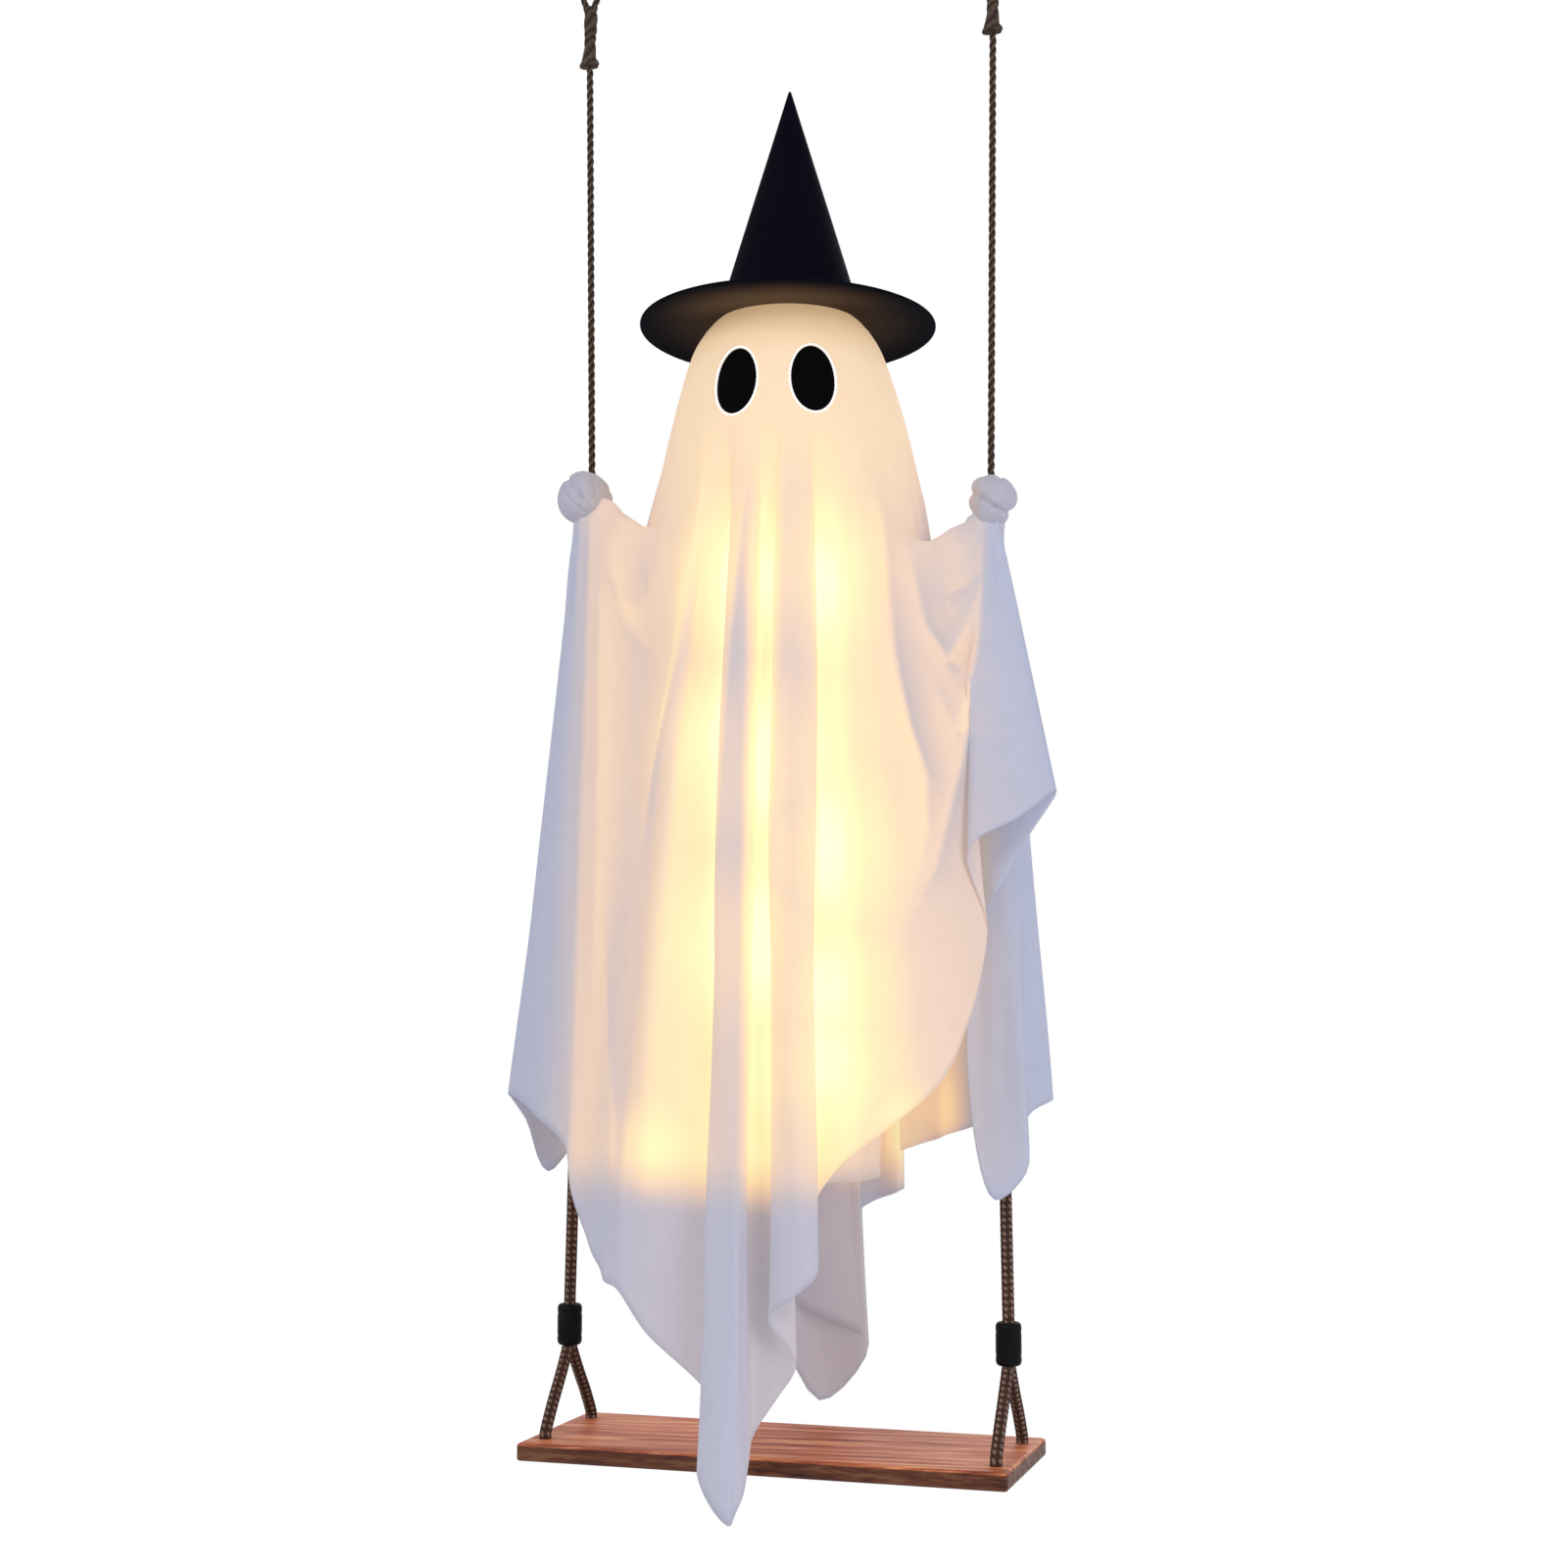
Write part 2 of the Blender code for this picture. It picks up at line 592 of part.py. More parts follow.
def wire_points():
    """The arm wire's route: out of one stub, under the cloth's valley, over the neck, and back."""
    route = []
    for side in (-1, 1):
        stub = HAND_Z[side] - FIST_HEIGHT / 2 - STUB_LENGTH / 2
        sag = LEFT_VALLEY_SAG if side < 0 else RIGHT_VALLEY_SAG
        ring = HAND_Z[side] - SHOULDER_RING_DROP
        valley_z = NECK_Z + (ring - NECK_Z) * VALLEY_SHARE - sag - WIRE_UNDER_VALLEY
        outer, low, high, inner = (HAND_X * share for share in WIRE_BEND_SHARES)
        half = [
            (HAND_X - LOWER_ROPE / 2 - WIRE_SEAT, stub - WIRE_DIPS[0]),
            (HAND_X - STUB_RADIUS - WIRE_PAST_STUB, stub - WIRE_DIPS[1]),
            (outer, min(valley_z, stub - WIRE_DIPS[2])),
            (low, (valley_z + WIRE_NECK_Z) / 2),
            (high, WIRE_NECK_Z - WIRE_DIPS[3]),
            (inner, WIRE_NECK_Z),
        ]
        points = [np.array([side * x, 0.0, z]) for x, z in half]
        route.append(points)
    stations = route[0] + route[1][::-1]
    steps = [2] * (len(stations) - 1)
    return [tuple(p) for p in catmull_rom(stations, centripetal_knots(stations), steps)]


def build_neck(steel, plastic, group, cutters):
    """The bent wire that carries the head on the fists, and the post that sits on it."""
    route = wire_points()
    add("arm_wire", tube_curve("arm_wire", route, WIRE_RADIUS), steel, group)
    hole = make_cutter(bar_mesh("wire_hole", route, WIRE_RADIUS + GAP, None, cutters))
    slit = make_cutter(bar_mesh("wire_slit", route, WIRE_RADIUS + WIRE_SLIT_EASE, None, cutters))
    top = PLATE_Z + COLLAR_HEIGHT
    bottom = WIRE_NECK_Z - POST_BELOW_WIRE
    collar = POST_RADIUS + COLLAR_WIDTH
    post = turned("neck_post", [
        (0.0, top), (collar, top), (collar, PLATE_Z + GAP), (POST_RADIUS, PLATE_Z + GAP),
        (POST_RADIUS, bottom), (0.0, bottom),
    ], plastic, group, 20)
    cut(post, hole)
    return hole, slit


def build_battery(plastic, group):
    """The battery box hangs under the neck plate, behind the post, with its lid to the back."""
    middle = PLATE_Z - PLATE_WALL - GAP - BOX_HEIGHT / 2
    y = POST_RADIUS + BOX_BEHIND_POST + BOX_DEPTH / 2
    lid_y = y + BOX_DEPTH / 2 + GAP + BOX_LID / 2
    block("battery_box", (BOX_WIDTH, BOX_DEPTH, BOX_HEIGHT), (0.0, y, middle), BOX_EDGE, 1, plastic, group)
    lid_size = (BOX_WIDTH - 2 * LID_MARGIN, BOX_LID, BOX_HEIGHT - 2 * LID_MARGIN)
    block("battery_lid", lid_size, (0.0, lid_y, middle), BOX_EDGE, 1, plastic, group)


def build_fist(side, cloth, group, wire_hole):
    """Cloth wound round the rope, with a stub that passes through the drape to the wire."""
    half = FIST_HEIGHT / 2
    upper = UPPER_ROPE / 2 + ROPE_EASE
    lower = LOWER_ROPE / 2 + ROPE_EASE
    low = -half - STUB_LENGTH
    outline = [(upper, half)]
    outline += [(FIST_RADIUS * across, half * up) for across, up in FIST_PROFILE_SHARES]
    outline += [(STUB_RADIUS, -half), (STUB_RADIUS, low), (lower, low), (lower, 0.0), (upper, 0.0)]
    fist = turned(SIDE_NAME[side] + "_hand", outline, cloth, group, 16)
    fist.location = (side * HAND_X, 0.0, HAND_Z[side])
    cut(fist, wire_hole)


def block(name, size, place, edge_width, segments, finish, group):
    """A box with rounded edges."""
    bpy.ops.mesh.primitive_cube_add(size=1.0)
    obj = bpy.context.active_object
    obj.name = name
    obj.data.name = name
    obj.data.transform(Matrix.Diagonal((*size, 1.0)))
    obj.location = place
    edge = obj.modifiers.new("edge", "BEVEL")
    edge.width = edge_width
    edge.segments = segments
    obj.data.materials.append(finish)
    for holder in list(obj.users_collection):
        holder.objects.unlink(obj)
    group.objects.link(obj)
    return obj


def line_points(start, end, spacing):
    """Evenly spaced points of a straight stretch of rope."""
    start, end = Vector(start), Vector(end)
    count = max(2, round((end - start).length / spacing))
    return [tuple(start.lerp(end, k / count)) for k in range(count + 1)]


def build_knot(side, jute, group, cutters):
    """The hanging loop with the wound knot under it, which are one rope."""
    x = side * HOOK_SPACING / 2
    thick = UPPER_ROPE / 2
    half = LOOP_WIDTH / 2
    foot = -LOOP_HEIGHT - LOOP_IN_KNOT
    route = []
    steps = 9
    for k in range(steps + 1):
        a = math.pi * k / steps
        route.append((x + half * math.cos(a), 0.0, thick - half + half * math.sin(a)))
    for share in (0.3, 0.6, 1.0):
        z = thick - half + (foot - thick + half) * share
        route.append((x - half * (1 - share) ** 0.8 - LOOP_LEG_OFFSET * share, 0.0, z))
    mirrored = [(2 * x - px, py, pz) for px, py, pz in route[steps + 1:]]
    route += mirrored[::-1]
    ring = tube_curve("loop", route, thick, 2, True)
    loop = mesh_from_curve(SIDE_NAME[side] + "_loop", ring, None, cutters)
    pitch = KNOT_LENGTH / KNOT_TURNS
    outline = [(0.0, -LOOP_HEIGHT)]
    for k in range(KNOT_TURNS):
        top = -LOOP_HEIGHT - k * pitch
        outline += [(KNOT_RADIUS * KNOT_VALLEY_SHARE, top), (KNOT_RADIUS, top - pitch * 0.5)]
    outline += [(KNOT_RADIUS * KNOT_VALLEY_SHARE, KNOT_BOTTOM_Z), (0.0, KNOT_BOTTOM_Z)]
    knot = turned(SIDE_NAME[side] + "_knot", outline, jute, group, 12)
    knot.location.x = x
    cut(knot, make_cutter(loop), "UNION")


def build_upper_rope(side, jute, group):
    top = (side * HOOK_SPACING / 2, 0.0, KNOT_BOTTOM_Z - GAP)
    bottom = (side * HAND_X, 0.0, HAND_Z[side] + 2 * GAP)
    name = SIDE_NAME[side] + "_upper_rope"
    add(name, tube_curve(name, line_points(top, bottom, 3 * UPPER_ROPE), UPPER_ROPE / 2), jute, group)


def hole_place(side, along=0.0):
    """A point over the seat's holes on one side, in plan, along steps towards the back."""
    x, y = side * HOLE_SPACING / 2, along
    return (SWING_X + x * math.cos(SEAT_TWIST) - y * math.sin(SEAT_TWIST),
            x * math.sin(SEAT_TWIST) + y * math.cos(SEAT_TWIST))


def build_lower_rope(side, braid, plastic, group):
    """The braid from the fist down to its ferrule, which it enters from above."""
    x, y = hole_place(side)
    bottom = (x, y, FERRULE_TOP_Z - FERRULE_SOCKET + GAP)
    top = (side * HAND_X, 0.0, HAND_Z[side] - GAP)
    straight = (side * HAND_X, 0.0, HAND_Z[side] - FIST_HEIGHT / 2 - STUB_LENGTH - ROPE_BELOW_STUB)
    above = (x, y, FERRULE_TOP_Z + ROPE_ABOVE_FERRULE)
    route = [top] + line_points(straight, above, 3 * LOWER_ROPE) + [bottom]
    name = SIDE_NAME[side] + "_lower_rope"
    add(name, tube_curve(name, route, LOWER_ROPE / 2), braid, group)
    top_z, low_z = FERRULE_TOP_Z, FERRULE_TOP_Z - FERRULE_HEIGHT
    bore = LOWER_ROPE / 2 + ROPE_EASE
    r = FERRULE_RADIUS
    ferrule = turned(SIDE_NAME[side] + "_ferrule", [
        (bore, top_z), (r * 0.78, top_z), (r * 0.94, top_z - 0.35 * FERRULE_EDGE), (r, top_z - FERRULE_EDGE),
        (r, low_z + FERRULE_EDGE), (r * 0.94, low_z + 0.35 * FERRULE_EDGE), (r * 0.78, low_z), (0.0, low_z),
        (0.0, top_z - FERRULE_SOCKET), (bore, top_z - FERRULE_SOCKET),
    ], plastic, group, 16)
    ferrule.location = (x, y, 0.0)


def yoke_route():
    """One side of the yoke in its own plane: (distance to the back, height), front leg first."""
    leg = LOWER_ROPE / 2 + GAP
    start = FERRULE_TOP_Z - FERRULE_HEIGHT - GAP
    half = HOLE_PITCH / 2
    under = SEAT_TOP_Z - SEAT_THICKNESS + LOWER_ROPE / 2 - YOKE_PROUD
    front = [(-leg, start), (-leg, start - YOKE_STRAIGHT)]
    spread = start - 1.5 * YOKE_STRAIGHT
    for share in (0.33, 0.66):
        height = spread + (SEAT_TOP_Z + YOKE_OVER_HOLE - spread) * share
        front.append((-leg - (half - leg) * share, height))
    front += [(-half + YOKE_LEAN, SEAT_TOP_Z + YOKE_OVER_HOLE - 0.001), (-half, SEAT_TOP_Z + 0.001)]
    for k in range(5):
        a = math.radians(22.5) * k
        front.append((-half + YOKE_BEND * (1 - math.cos(a)), under + YOKE_BEND * (1 - math.sin(a))))
    front += [(-half * 0.45, under), (0.0, under)]
    return front + [(-y, z) for y, z in front[-2::-1]]


def yoke_points(side):
    return [(*hole_place(side, along), z) for along, z in yoke_route()]


def build_yoke(side, braid, group):
    """The rope through the seat on one side."""
    name = SIDE_NAME[side] + "_yoke"
    add(name, tube_curve(name, yoke_points(side), LOWER_ROPE / 2), braid, group)


def yoke_room(side, cutters):
    """The two holes and the groove between them that the rope needs in the seat."""
    inside = [p for p in yoke_points(side) if p[2] < SEAT_TOP_Z]
    tall = SEAT_TOP_Z + HOLE_CUT_ABOVE
    route = [(*inside[0][:2], tall), *inside, (*inside[-1][:2], tall)]
    name = SIDE_NAME[side] + "_yoke_room"
    return make_cutter(bar_mesh(name, route, LOWER_ROPE / 2 + ROPE_EASE, None, cutters))


def build_seat(wood, group, cutters):
    size = (SEAT_LENGTH, SEAT_DEPTH, SEAT_THICKNESS)
    seat = block("seat", size, (SWING_X, 0.0, SEAT_TOP_Z - SEAT_THICKNESS / 2), SEAT_EDGE, 2, wood, group)
    seat.rotation_euler = (0.0, 0.0, SEAT_TWIST)
    for side in (-1, 1):
        cut(seat, yoke_room(side, cutters))


def face_columns():
    """The cloth's columns over the face, each as bearings, radii and heights from the crown down."""
    columns = []
    for column in cloth_grid(COLUMNS_PER_LINE):
        bearings = np.arctan2(column[:, 0], -column[:, 1])
        if abs(bearings[6]) < math.radians(70) and column[6][1] < 0:
            columns.append((bearings, np.hypot(column[:, 0], column[:, 1]), column[:, 2]))
    return columns


def face_radius(columns, bearing, z):
    """How far the cloth is from the head's axis, at a bearing from straight ahead and a height."""
    found = [(np.interp(-z, -heights, bearings), np.interp(-z, -heights, radii))
             for bearings, radii, heights in columns]
    found.sort()
    return float(np.interp(bearing, [b for b, _ in found], [r for _, r in found]))


def build_eye(side, felt, group):
    """An oval of felt that follows the draped head."""
    columns = face_columns()
    bearing = FACE_TURN + side * math.asin(EYE_SPACING / 2 / CLOTH_OUTER)
    middle = HEAD_Z - EYE_DROP
    rings, spokes = 2, 18
    points, faces = [], []
    for ring in range(rings + 1):
        for k in range(spokes if ring else 1):
            a = math.tau * k / spokes
            across = EYE_WIDTH / 2 * ring / rings * math.cos(a)
            z = middle + EYE_HEIGHT / 2 * ring / rings * math.sin(a)
            turn = bearing + across / CLOTH_OUTER
            radius = face_radius(columns, turn, z) + GAP
            points.append((radius * math.sin(turn), -radius * math.cos(turn), z))
    for k in range(spokes):
        nxt = (k + 1) % spokes
        faces.append((0, 1 + k, 1 + nxt))
        for ring in range(rings - 1):
            a, b = 1 + ring * spokes + k, 1 + ring * spokes + nxt
            faces.append((a, a + spokes, b + spokes, b))
    mesh = bpy.data.meshes.new(SIDE_NAME[side] + "_eye")
    mesh.from_pydata(points, [], faces)
    eye = add(SIDE_NAME[side] + "_eye", mesh, felt, group)
    thick = eye.modifiers.new("thickness", "SOLIDIFY")
    thick.thickness = EYE_FELT
    thick.offset = 1.0
    smooth(mesh)


def main():
    wipe()
    ghost = new_collection("hanging_ghost")
    cutters = new_collection("cutters")
    felt = material("black_felt", (0.012, 0.012, 0.016), 0.85)
    cloth = material("white_cloth", (0.78, 0.78, 0.84), 0.9)
    lining = material("lining_cloth", (0.85, 0.80, 0.72), 0.9)
    plastic = material("translucent_plastic", (0.85, 0.82, 0.76), 0.45)
    black = material("black_plastic", (0.02, 0.018, 0.02), 0.4)
    steel = material("galvanised_steel", (0.55, 0.55, 0.56), 0.35, 1.0)
    jute = material("jute", (0.13, 0.09, 0.06), 0.95)
    braid = material("brown_braid", (0.16, 0.08, 0.04), 0.9)
    wood = material("stained_wood", (0.40, 0.15, 0.07), 0.5)
    build_hat(felt, ghost)
    build_head(plastic, ghost)
    hole, slit = build_neck(steel, plastic, ghost, cutters)
    build_battery(black, ghost)
    build_lining(lining, ghost, cutters, slit)
    build_light(black, ghost)
    build_drape(cloth, ghost, cutters)
    for side in (-1, 1):
        build_eye(side, felt, ghost)
        build_fist(side, cloth, ghost, hole)
        build_knot(side, jute, ghost, cutters)
        build_upper_rope(side, jute, ghost)
        build_lower_rope(side, braid, black, ghost)
        build_yoke(side, braid, ghost)
    build_seat(wood, ghost, cutters)


main()
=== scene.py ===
# %% [markdown]
# # A cloth ghost with a pointed hat, lit from inside, over a swing seat
# The imported model gives every solid its place and size. This lesson dresses it: first the camera,
# the floor and the lamps, then the finishes, then one piece after the other. Lengths are metres,
# +Z is up and the ghost looks along -Y.

# %% Load the frame
import math

import bmesh
import bpy
import numpy as np
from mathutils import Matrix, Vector
from mathutils.bvhtree import BVHTree


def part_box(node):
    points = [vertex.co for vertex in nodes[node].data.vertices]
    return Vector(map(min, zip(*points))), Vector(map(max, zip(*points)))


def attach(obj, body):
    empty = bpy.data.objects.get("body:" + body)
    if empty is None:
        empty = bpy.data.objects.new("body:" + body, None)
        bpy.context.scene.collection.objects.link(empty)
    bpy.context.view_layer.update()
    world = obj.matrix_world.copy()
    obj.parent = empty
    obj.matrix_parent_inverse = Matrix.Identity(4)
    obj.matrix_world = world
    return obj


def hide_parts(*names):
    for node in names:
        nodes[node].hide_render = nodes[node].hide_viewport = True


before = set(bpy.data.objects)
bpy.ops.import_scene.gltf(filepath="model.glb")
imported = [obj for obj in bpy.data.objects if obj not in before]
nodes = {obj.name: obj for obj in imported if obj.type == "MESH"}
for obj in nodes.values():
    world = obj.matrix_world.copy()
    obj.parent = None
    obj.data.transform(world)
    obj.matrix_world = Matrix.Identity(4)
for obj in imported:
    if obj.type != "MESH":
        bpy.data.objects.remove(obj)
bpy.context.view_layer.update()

# %% [markdown]
# ## Sizes
# The pieces made here lie where the solids lie, so the sizes that they share are written once.

# %% Sizes shared with the solids
HOOK_X = 0.179
HAND_X = 0.174
HAND_Z = {-1: -0.519, 1: -0.536}
HOLE_X = 0.190
SIDE_NAME = {-1: "left", 1: "right"}
UPPER_ROPE = 0.006
LOWER_ROPE = 0.010
LOOP_HEIGHT = 0.077
LOOP_WIDTH = 0.030
KNOT_BOTTOM_Z = -0.131
KNOT_RADIUS = 0.0064
FERRULE_TOP_Z = -1.211
FERRULE_HEIGHT = 0.034
SEAT_TOP_Z = -1.3145
SEAT_THICKNESS = 0.0145
SEAT_TWIST = math.radians(-5.5)
SWING_X = -0.0045
HOLE_PITCH = 0.100
BRIM_Z = -0.374
BRIM_RADIUS = 0.127
HAT_HEIGHT = 0.206
HAT_SEAT_RADIUS = 0.0605
FELT = 0.002
HEAD_RADIUS = 0.0865
CLOTH_OUTER = HEAD_RADIUS + 0.0023
HEAD_Z = BRIM_Z - FELT / 2 - math.sqrt(CLOTH_OUTER ** 2 - HAT_SEAT_RADIUS ** 2)
SHOULDER_Z = HEAD_Z - 0.181
RING_DROP = 0.022
LINING_TOP_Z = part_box("lining")[1][2]
LINING_HEM_Z = -1.100
print("head centre", round(HEAD_Z, 4), "lining from", round(LINING_TOP_Z, 4), "to", LINING_HEM_Z)

# %% [markdown]
# ## The camera
# The photograph looks slightly up from a little to the right, from under two metres away. A lens
# of 53 mm on a square 36 mm frame gives its field of view, so no shift is needed.

# %% Camera
scene = bpy.context.scene
CAMERA_TURN = math.radians(12)
CAMERA_PITCH = math.radians(5.3)
camera_data = bpy.data.cameras.new("camera")
camera_data.sensor_width = 36.0
camera_data.lens = 53.26
camera_data.clip_start = 0.05
camera = bpy.data.objects.new("camera", camera_data)
camera.location = (0.4022, -1.9081, -0.953)
camera.rotation_euler = (math.pi / 2 + CAMERA_PITCH, 0.0, CAMERA_TURN)
scene.collection.objects.link(camera)
scene.camera = camera
scene.view_settings.view_transform = "Standard"
print("camera at", tuple(round(v, 3) for v in camera.location))

# %% [markdown]
# ## A short way to write node trees
# Every finish below is a tree of shader nodes. These helpers add one node, fill its sockets with
# plain values or with another node's output, and give back what the new node puts out.

# %% Node helper
def fill(tree, socket, value):
    """Link another node's output into a socket, or write a plain value on it."""
    if isinstance(value, bpy.types.NodeSocket):
        tree.links.new(value, socket)
    elif socket.type == "RGBA":
        socket.default_value = (*value[:3], 1.0)
    else:
        socket.default_value = value


class Tree:
    def __init__(self, tree):
        self.tree = tree

    def add(self, kind, inputs=None, out=0, **settings):
        """One node, its settings and inputs filled; out names the output wanted, None wants them all."""
        made = self.tree.nodes.new(kind)
        for name, value in settings.items():
            setattr(made, name, value)
        for key, value in (inputs or {}).items():
            fill(self.tree, made.inputs[key], value)
        return made.outputs if out is None else made.outputs[out]

    def math(self, operation, a, b=0.0, c=0.0, clamp=False):
        return self.add("ShaderNodeMath", {0: a, 1: b, 2: c}, operation=operation, use_clamp=clamp)

    def fade(self, value, low, high, start=0.0, end=1.0):
        """A smooth step: start where the value is low, end where it is high."""
        return self.add("ShaderNodeMapRange", {"Value": value, "From Min": low, "From Max": high,
                        "To Min": start, "To Max": end}, interpolation_type="SMOOTHSTEP")

    def blend(self, share, a, b):
        return self.add("ShaderNodeMix", {0: share, 6: a, 7: b}, out=2, data_type="RGBA")

    def ramp(self, share, stops):
        made = self.tree.nodes.new("ShaderNodeValToRGB")
        fill(self.tree, made.inputs[0], share)
        elements = made.color_ramp.elements
        while len(elements) < len(stops):
            elements.new(0.5)
        for element, (place, color) in zip(elements, stops):
            element.position = place
            element.color = (*color, 1.0)
        return made.outputs[0]

    def place(self, kind="Object"):
        """Where a point lies in the shared frame, or with Normal which way it faces."""
        return self.add("ShaderNodeTexCoord", out=kind)

    def parts(self, vector):
        """The X, Y and Z of a vector."""
        return self.add("ShaderNodeSeparateXYZ", {0: vector}, out=None)

    def length(self, a, b):
        """How long a line is that goes a one way and b at right angles to it."""
        squares = [self.math("MULTIPLY", side, side) for side in (a, b)]
        return self.math("SQRT", self.math("ADD", *squares))

    def noise(self, place, scale, detail, roughness=0.5, distortion=0.0):
        return self.add("ShaderNodeTexNoise", {"Vector": place, "Scale": scale, "Detail": detail,
                        "Roughness": roughness, "Distortion": distortion}, out="Fac")

    def times(self, color, share):
        return self.add("ShaderNodeVectorMath", {0: color, 3: share}, operation="SCALE")

    def raised(self, height, strength, distance):
        return self.add("ShaderNodeBump", {"Height": height, "Strength": strength, "Distance": distance})

    def point_value(self, name):
        """A number that the mesh keeps on its points."""
        return self.add("ShaderNodeAttribute", out="Fac", attribute_name=name)


print("node helper ready")

# %% Colours, groups and sockets
def linear(red, green, blue):
    """A screen colour, 0 to 255, as the linear values that Blender mixes."""
    shares = [c / 255 for c in (red, green, blue)]
    return tuple(s / 12.92 if s <= 0.04045 else ((s + 0.055) / 1.055) ** 2.4 for s in shares)


def feed(graph, sockets, **values):
    """Fill sockets by name; an underscore in a keyword stands for a space in a socket's name."""
    for key, value in values.items():
        fill(graph.tree, sockets[key.replace("_", " ")], value)


def new_group(name, inputs, outputs):
    """A node group with named sockets: inputs as (name, value), outputs as (name, kind)."""
    tree = bpy.data.node_groups.new(name, "ShaderNodeTree")
    for label, value in inputs:
        tree.interface.new_socket(label, in_out="INPUT", socket_type="NodeSocketFloat").default_value = value
    for label, kind in outputs:
        tree.interface.new_socket(label, in_out="OUTPUT", socket_type="NodeSocket" + kind)
    return Tree(tree), tree.nodes.new("NodeGroupInput").outputs, tree.nodes.new("NodeGroupOutput").inputs


def use_group(graph, name, **values):
    made = graph.tree.nodes.new("ShaderNodeGroup")
    made.node_tree = bpy.data.node_groups[name]
    feed(graph, made.inputs, **values)
    return made.outputs


print("a mid grey of 128 is", round(linear(128, 128, 128)[0], 3))

# %% [markdown]
# ## Room and lamps
# A plain pale floor lies under the hanging object, and a large soft lamp on each side lights it at
# about the level where a colour renders as it is written. The photograph's white background comes
# from what the camera, a mirror or a glass sees of the world and the floor, not from more light.

# %% Room
FLOOR_Z, FLOOR_HALF = -1.90, 9
WHITE, BLACK = (1.0, 1.0, 1.0), (0.0, 0.0, 0.0)


def seen_straight(graph):
    """1 for what a camera, a mirror or a glass looks at, 0 for what only lights the object."""
    path = graph.add("ShaderNodeLightPath", out=None)
    seen = graph.math("MAXIMUM", path["Is Camera Ray"], path["Is Glossy Ray"])
    return graph.math("MAXIMUM", seen, path["Is Transmission Ray"])


world = bpy.data.worlds.new("studio")
world.use_nodes = True
scene.world = world
graph = Tree(world.node_tree)
backdrop = graph.blend(seen_straight(graph), (0.52, 0.525, 0.56), WHITE)
feed(graph, world.node_tree.nodes["Background"].inputs, Color=backdrop, Strength=1.0)
print("world ready")

# %% Floor
corners = [(x * FLOOR_HALF, y * FLOOR_HALF, FLOOR_Z) for x, y in ((-1, -1), (1, -1), (1, 1), (-1, 1))]
floor_mesh = bpy.data.meshes.new("floor")
floor_mesh.from_pydata(corners, [], [(0, 1, 2, 3)])
floor = bpy.data.objects.new("floor", floor_mesh)
scene.collection.objects.link(floor)
floor_finish = bpy.data.materials.new("pale_floor")
floor_finish.use_nodes = True
graph = Tree(floor_finish.node_tree)
shader = floor_finish.node_tree.nodes["Principled BSDF"]
feed(graph, shader.inputs, Base_Color=(0.85, 0.85, 0.85), Roughness=0.9)
seen = seen_straight(graph)
dark, pale, bright = (graph.add("ShaderNodeEmission", {"Color": WHITE, "Strength": level})
                      for level in (0.0, 0.45, 1.0))
lift = graph.add("ShaderNodeMixShader", {0: seen, 1: dark, 2: pale})
near = graph.add("ShaderNodeAddShader", {0: shader.outputs[0], 1: lift})
from_middle = graph.add("ShaderNodeVectorMath", {0: graph.place(), 1: (0.0, 0.0, FLOOR_Z)}, out=1,
                        operation="DISTANCE")
far = graph.math("MULTIPLY", graph.fade(from_middle, 1.3, 2.4), seen)
surface = graph.add("ShaderNodeMixShader", {0: far, 1: near, 2: bright})
feed(graph, floor_finish.node_tree.nodes["Material Output"].inputs, Surface=surface)
floor_mesh.materials.append(floor_finish)
print("floor at", FLOOR_Z)

# %% Lamps
def soft_lamp(name, place, target, size, power, color):
    lamp = bpy.data.lights.new(name, "AREA")
    lamp.shape = "DISK"
    lamp.size = size
    lamp.energy = power
    lamp.color = color
    holder = bpy.data.objects.new(name, lamp)
    holder.location = place
    holder.rotation_euler = (Vector(target) - Vector(place)).to_track_quat("-Z", "Y").to_euler()
    scene.collection.objects.link(holder)


MIDDLE = (0.0, 0.0, -0.85)
soft_lamp("key", (-1.9, -2.4, 0.6), MIDDLE, 1.6, 36, (1.0, 0.99, 0.98))
soft_lamp("fill", (2.3, -1.9, -0.3), MIDDLE, 1.8, 36, (0.96, 0.97, 1.0))
soft_lamp("back", (0.6, 2.6, 0.8), MIDDLE, 1.8, 26, (0.95, 0.96, 1.0))

# %% [markdown]
# ## The glow of the lamps behind cloth
# On the real ghost small warm lamps hang inside the lining, and the cloth in front glows where it is
# thin. Real light through two cloths is slow and noisy to render, so a node group paints it: soft
# spots where the lamps are, a step at the lining's hem, and a ramp from cool shade to warm light.
# Part of that colour goes to the cloth and part shines, so it looks alike under other lamps.

# %% Group: lamps behind cloth
# Each spot is (x, z, reach): where a lamp of the string lies close behind the front cloth.
LAMP_SPOTS = (
    (-0.029, -0.611, 0.085), (0.048, -0.614, 0.085), (-0.004, -0.764, 0.100), (0.056, -0.836, 0.095),
    (-0.008, -0.906, 0.100), (0.056, -0.946, 0.080), (0.055, -1.000, 0.080), (-0.098, -1.070, 0.050),
    (0.118, -1.045, 0.040), (-0.040, -0.740, 0.080),
)
graph, given, result = new_group(
    "lamps_behind_cloth",
    (("Light Through", 0.5), ("Hem Height", LINING_HEM_Z), ("Hem Softness", 0.004), ("Below Hem", 0.12)),
    (("Glow", "Float"), ("Base Color", "Color"), ("Emission Color", "Color")),
)
x, _, z = graph.parts(graph.place())
spots = 0.0
for spot_x, spot_z, reach in LAMP_SPOTS:
    away = graph.length(graph.math("SUBTRACT", x, spot_x), graph.math("SUBTRACT", z, spot_z))
    spots = graph.math("MAXIMUM", spots, graph.fade(away, reach, 0.0))
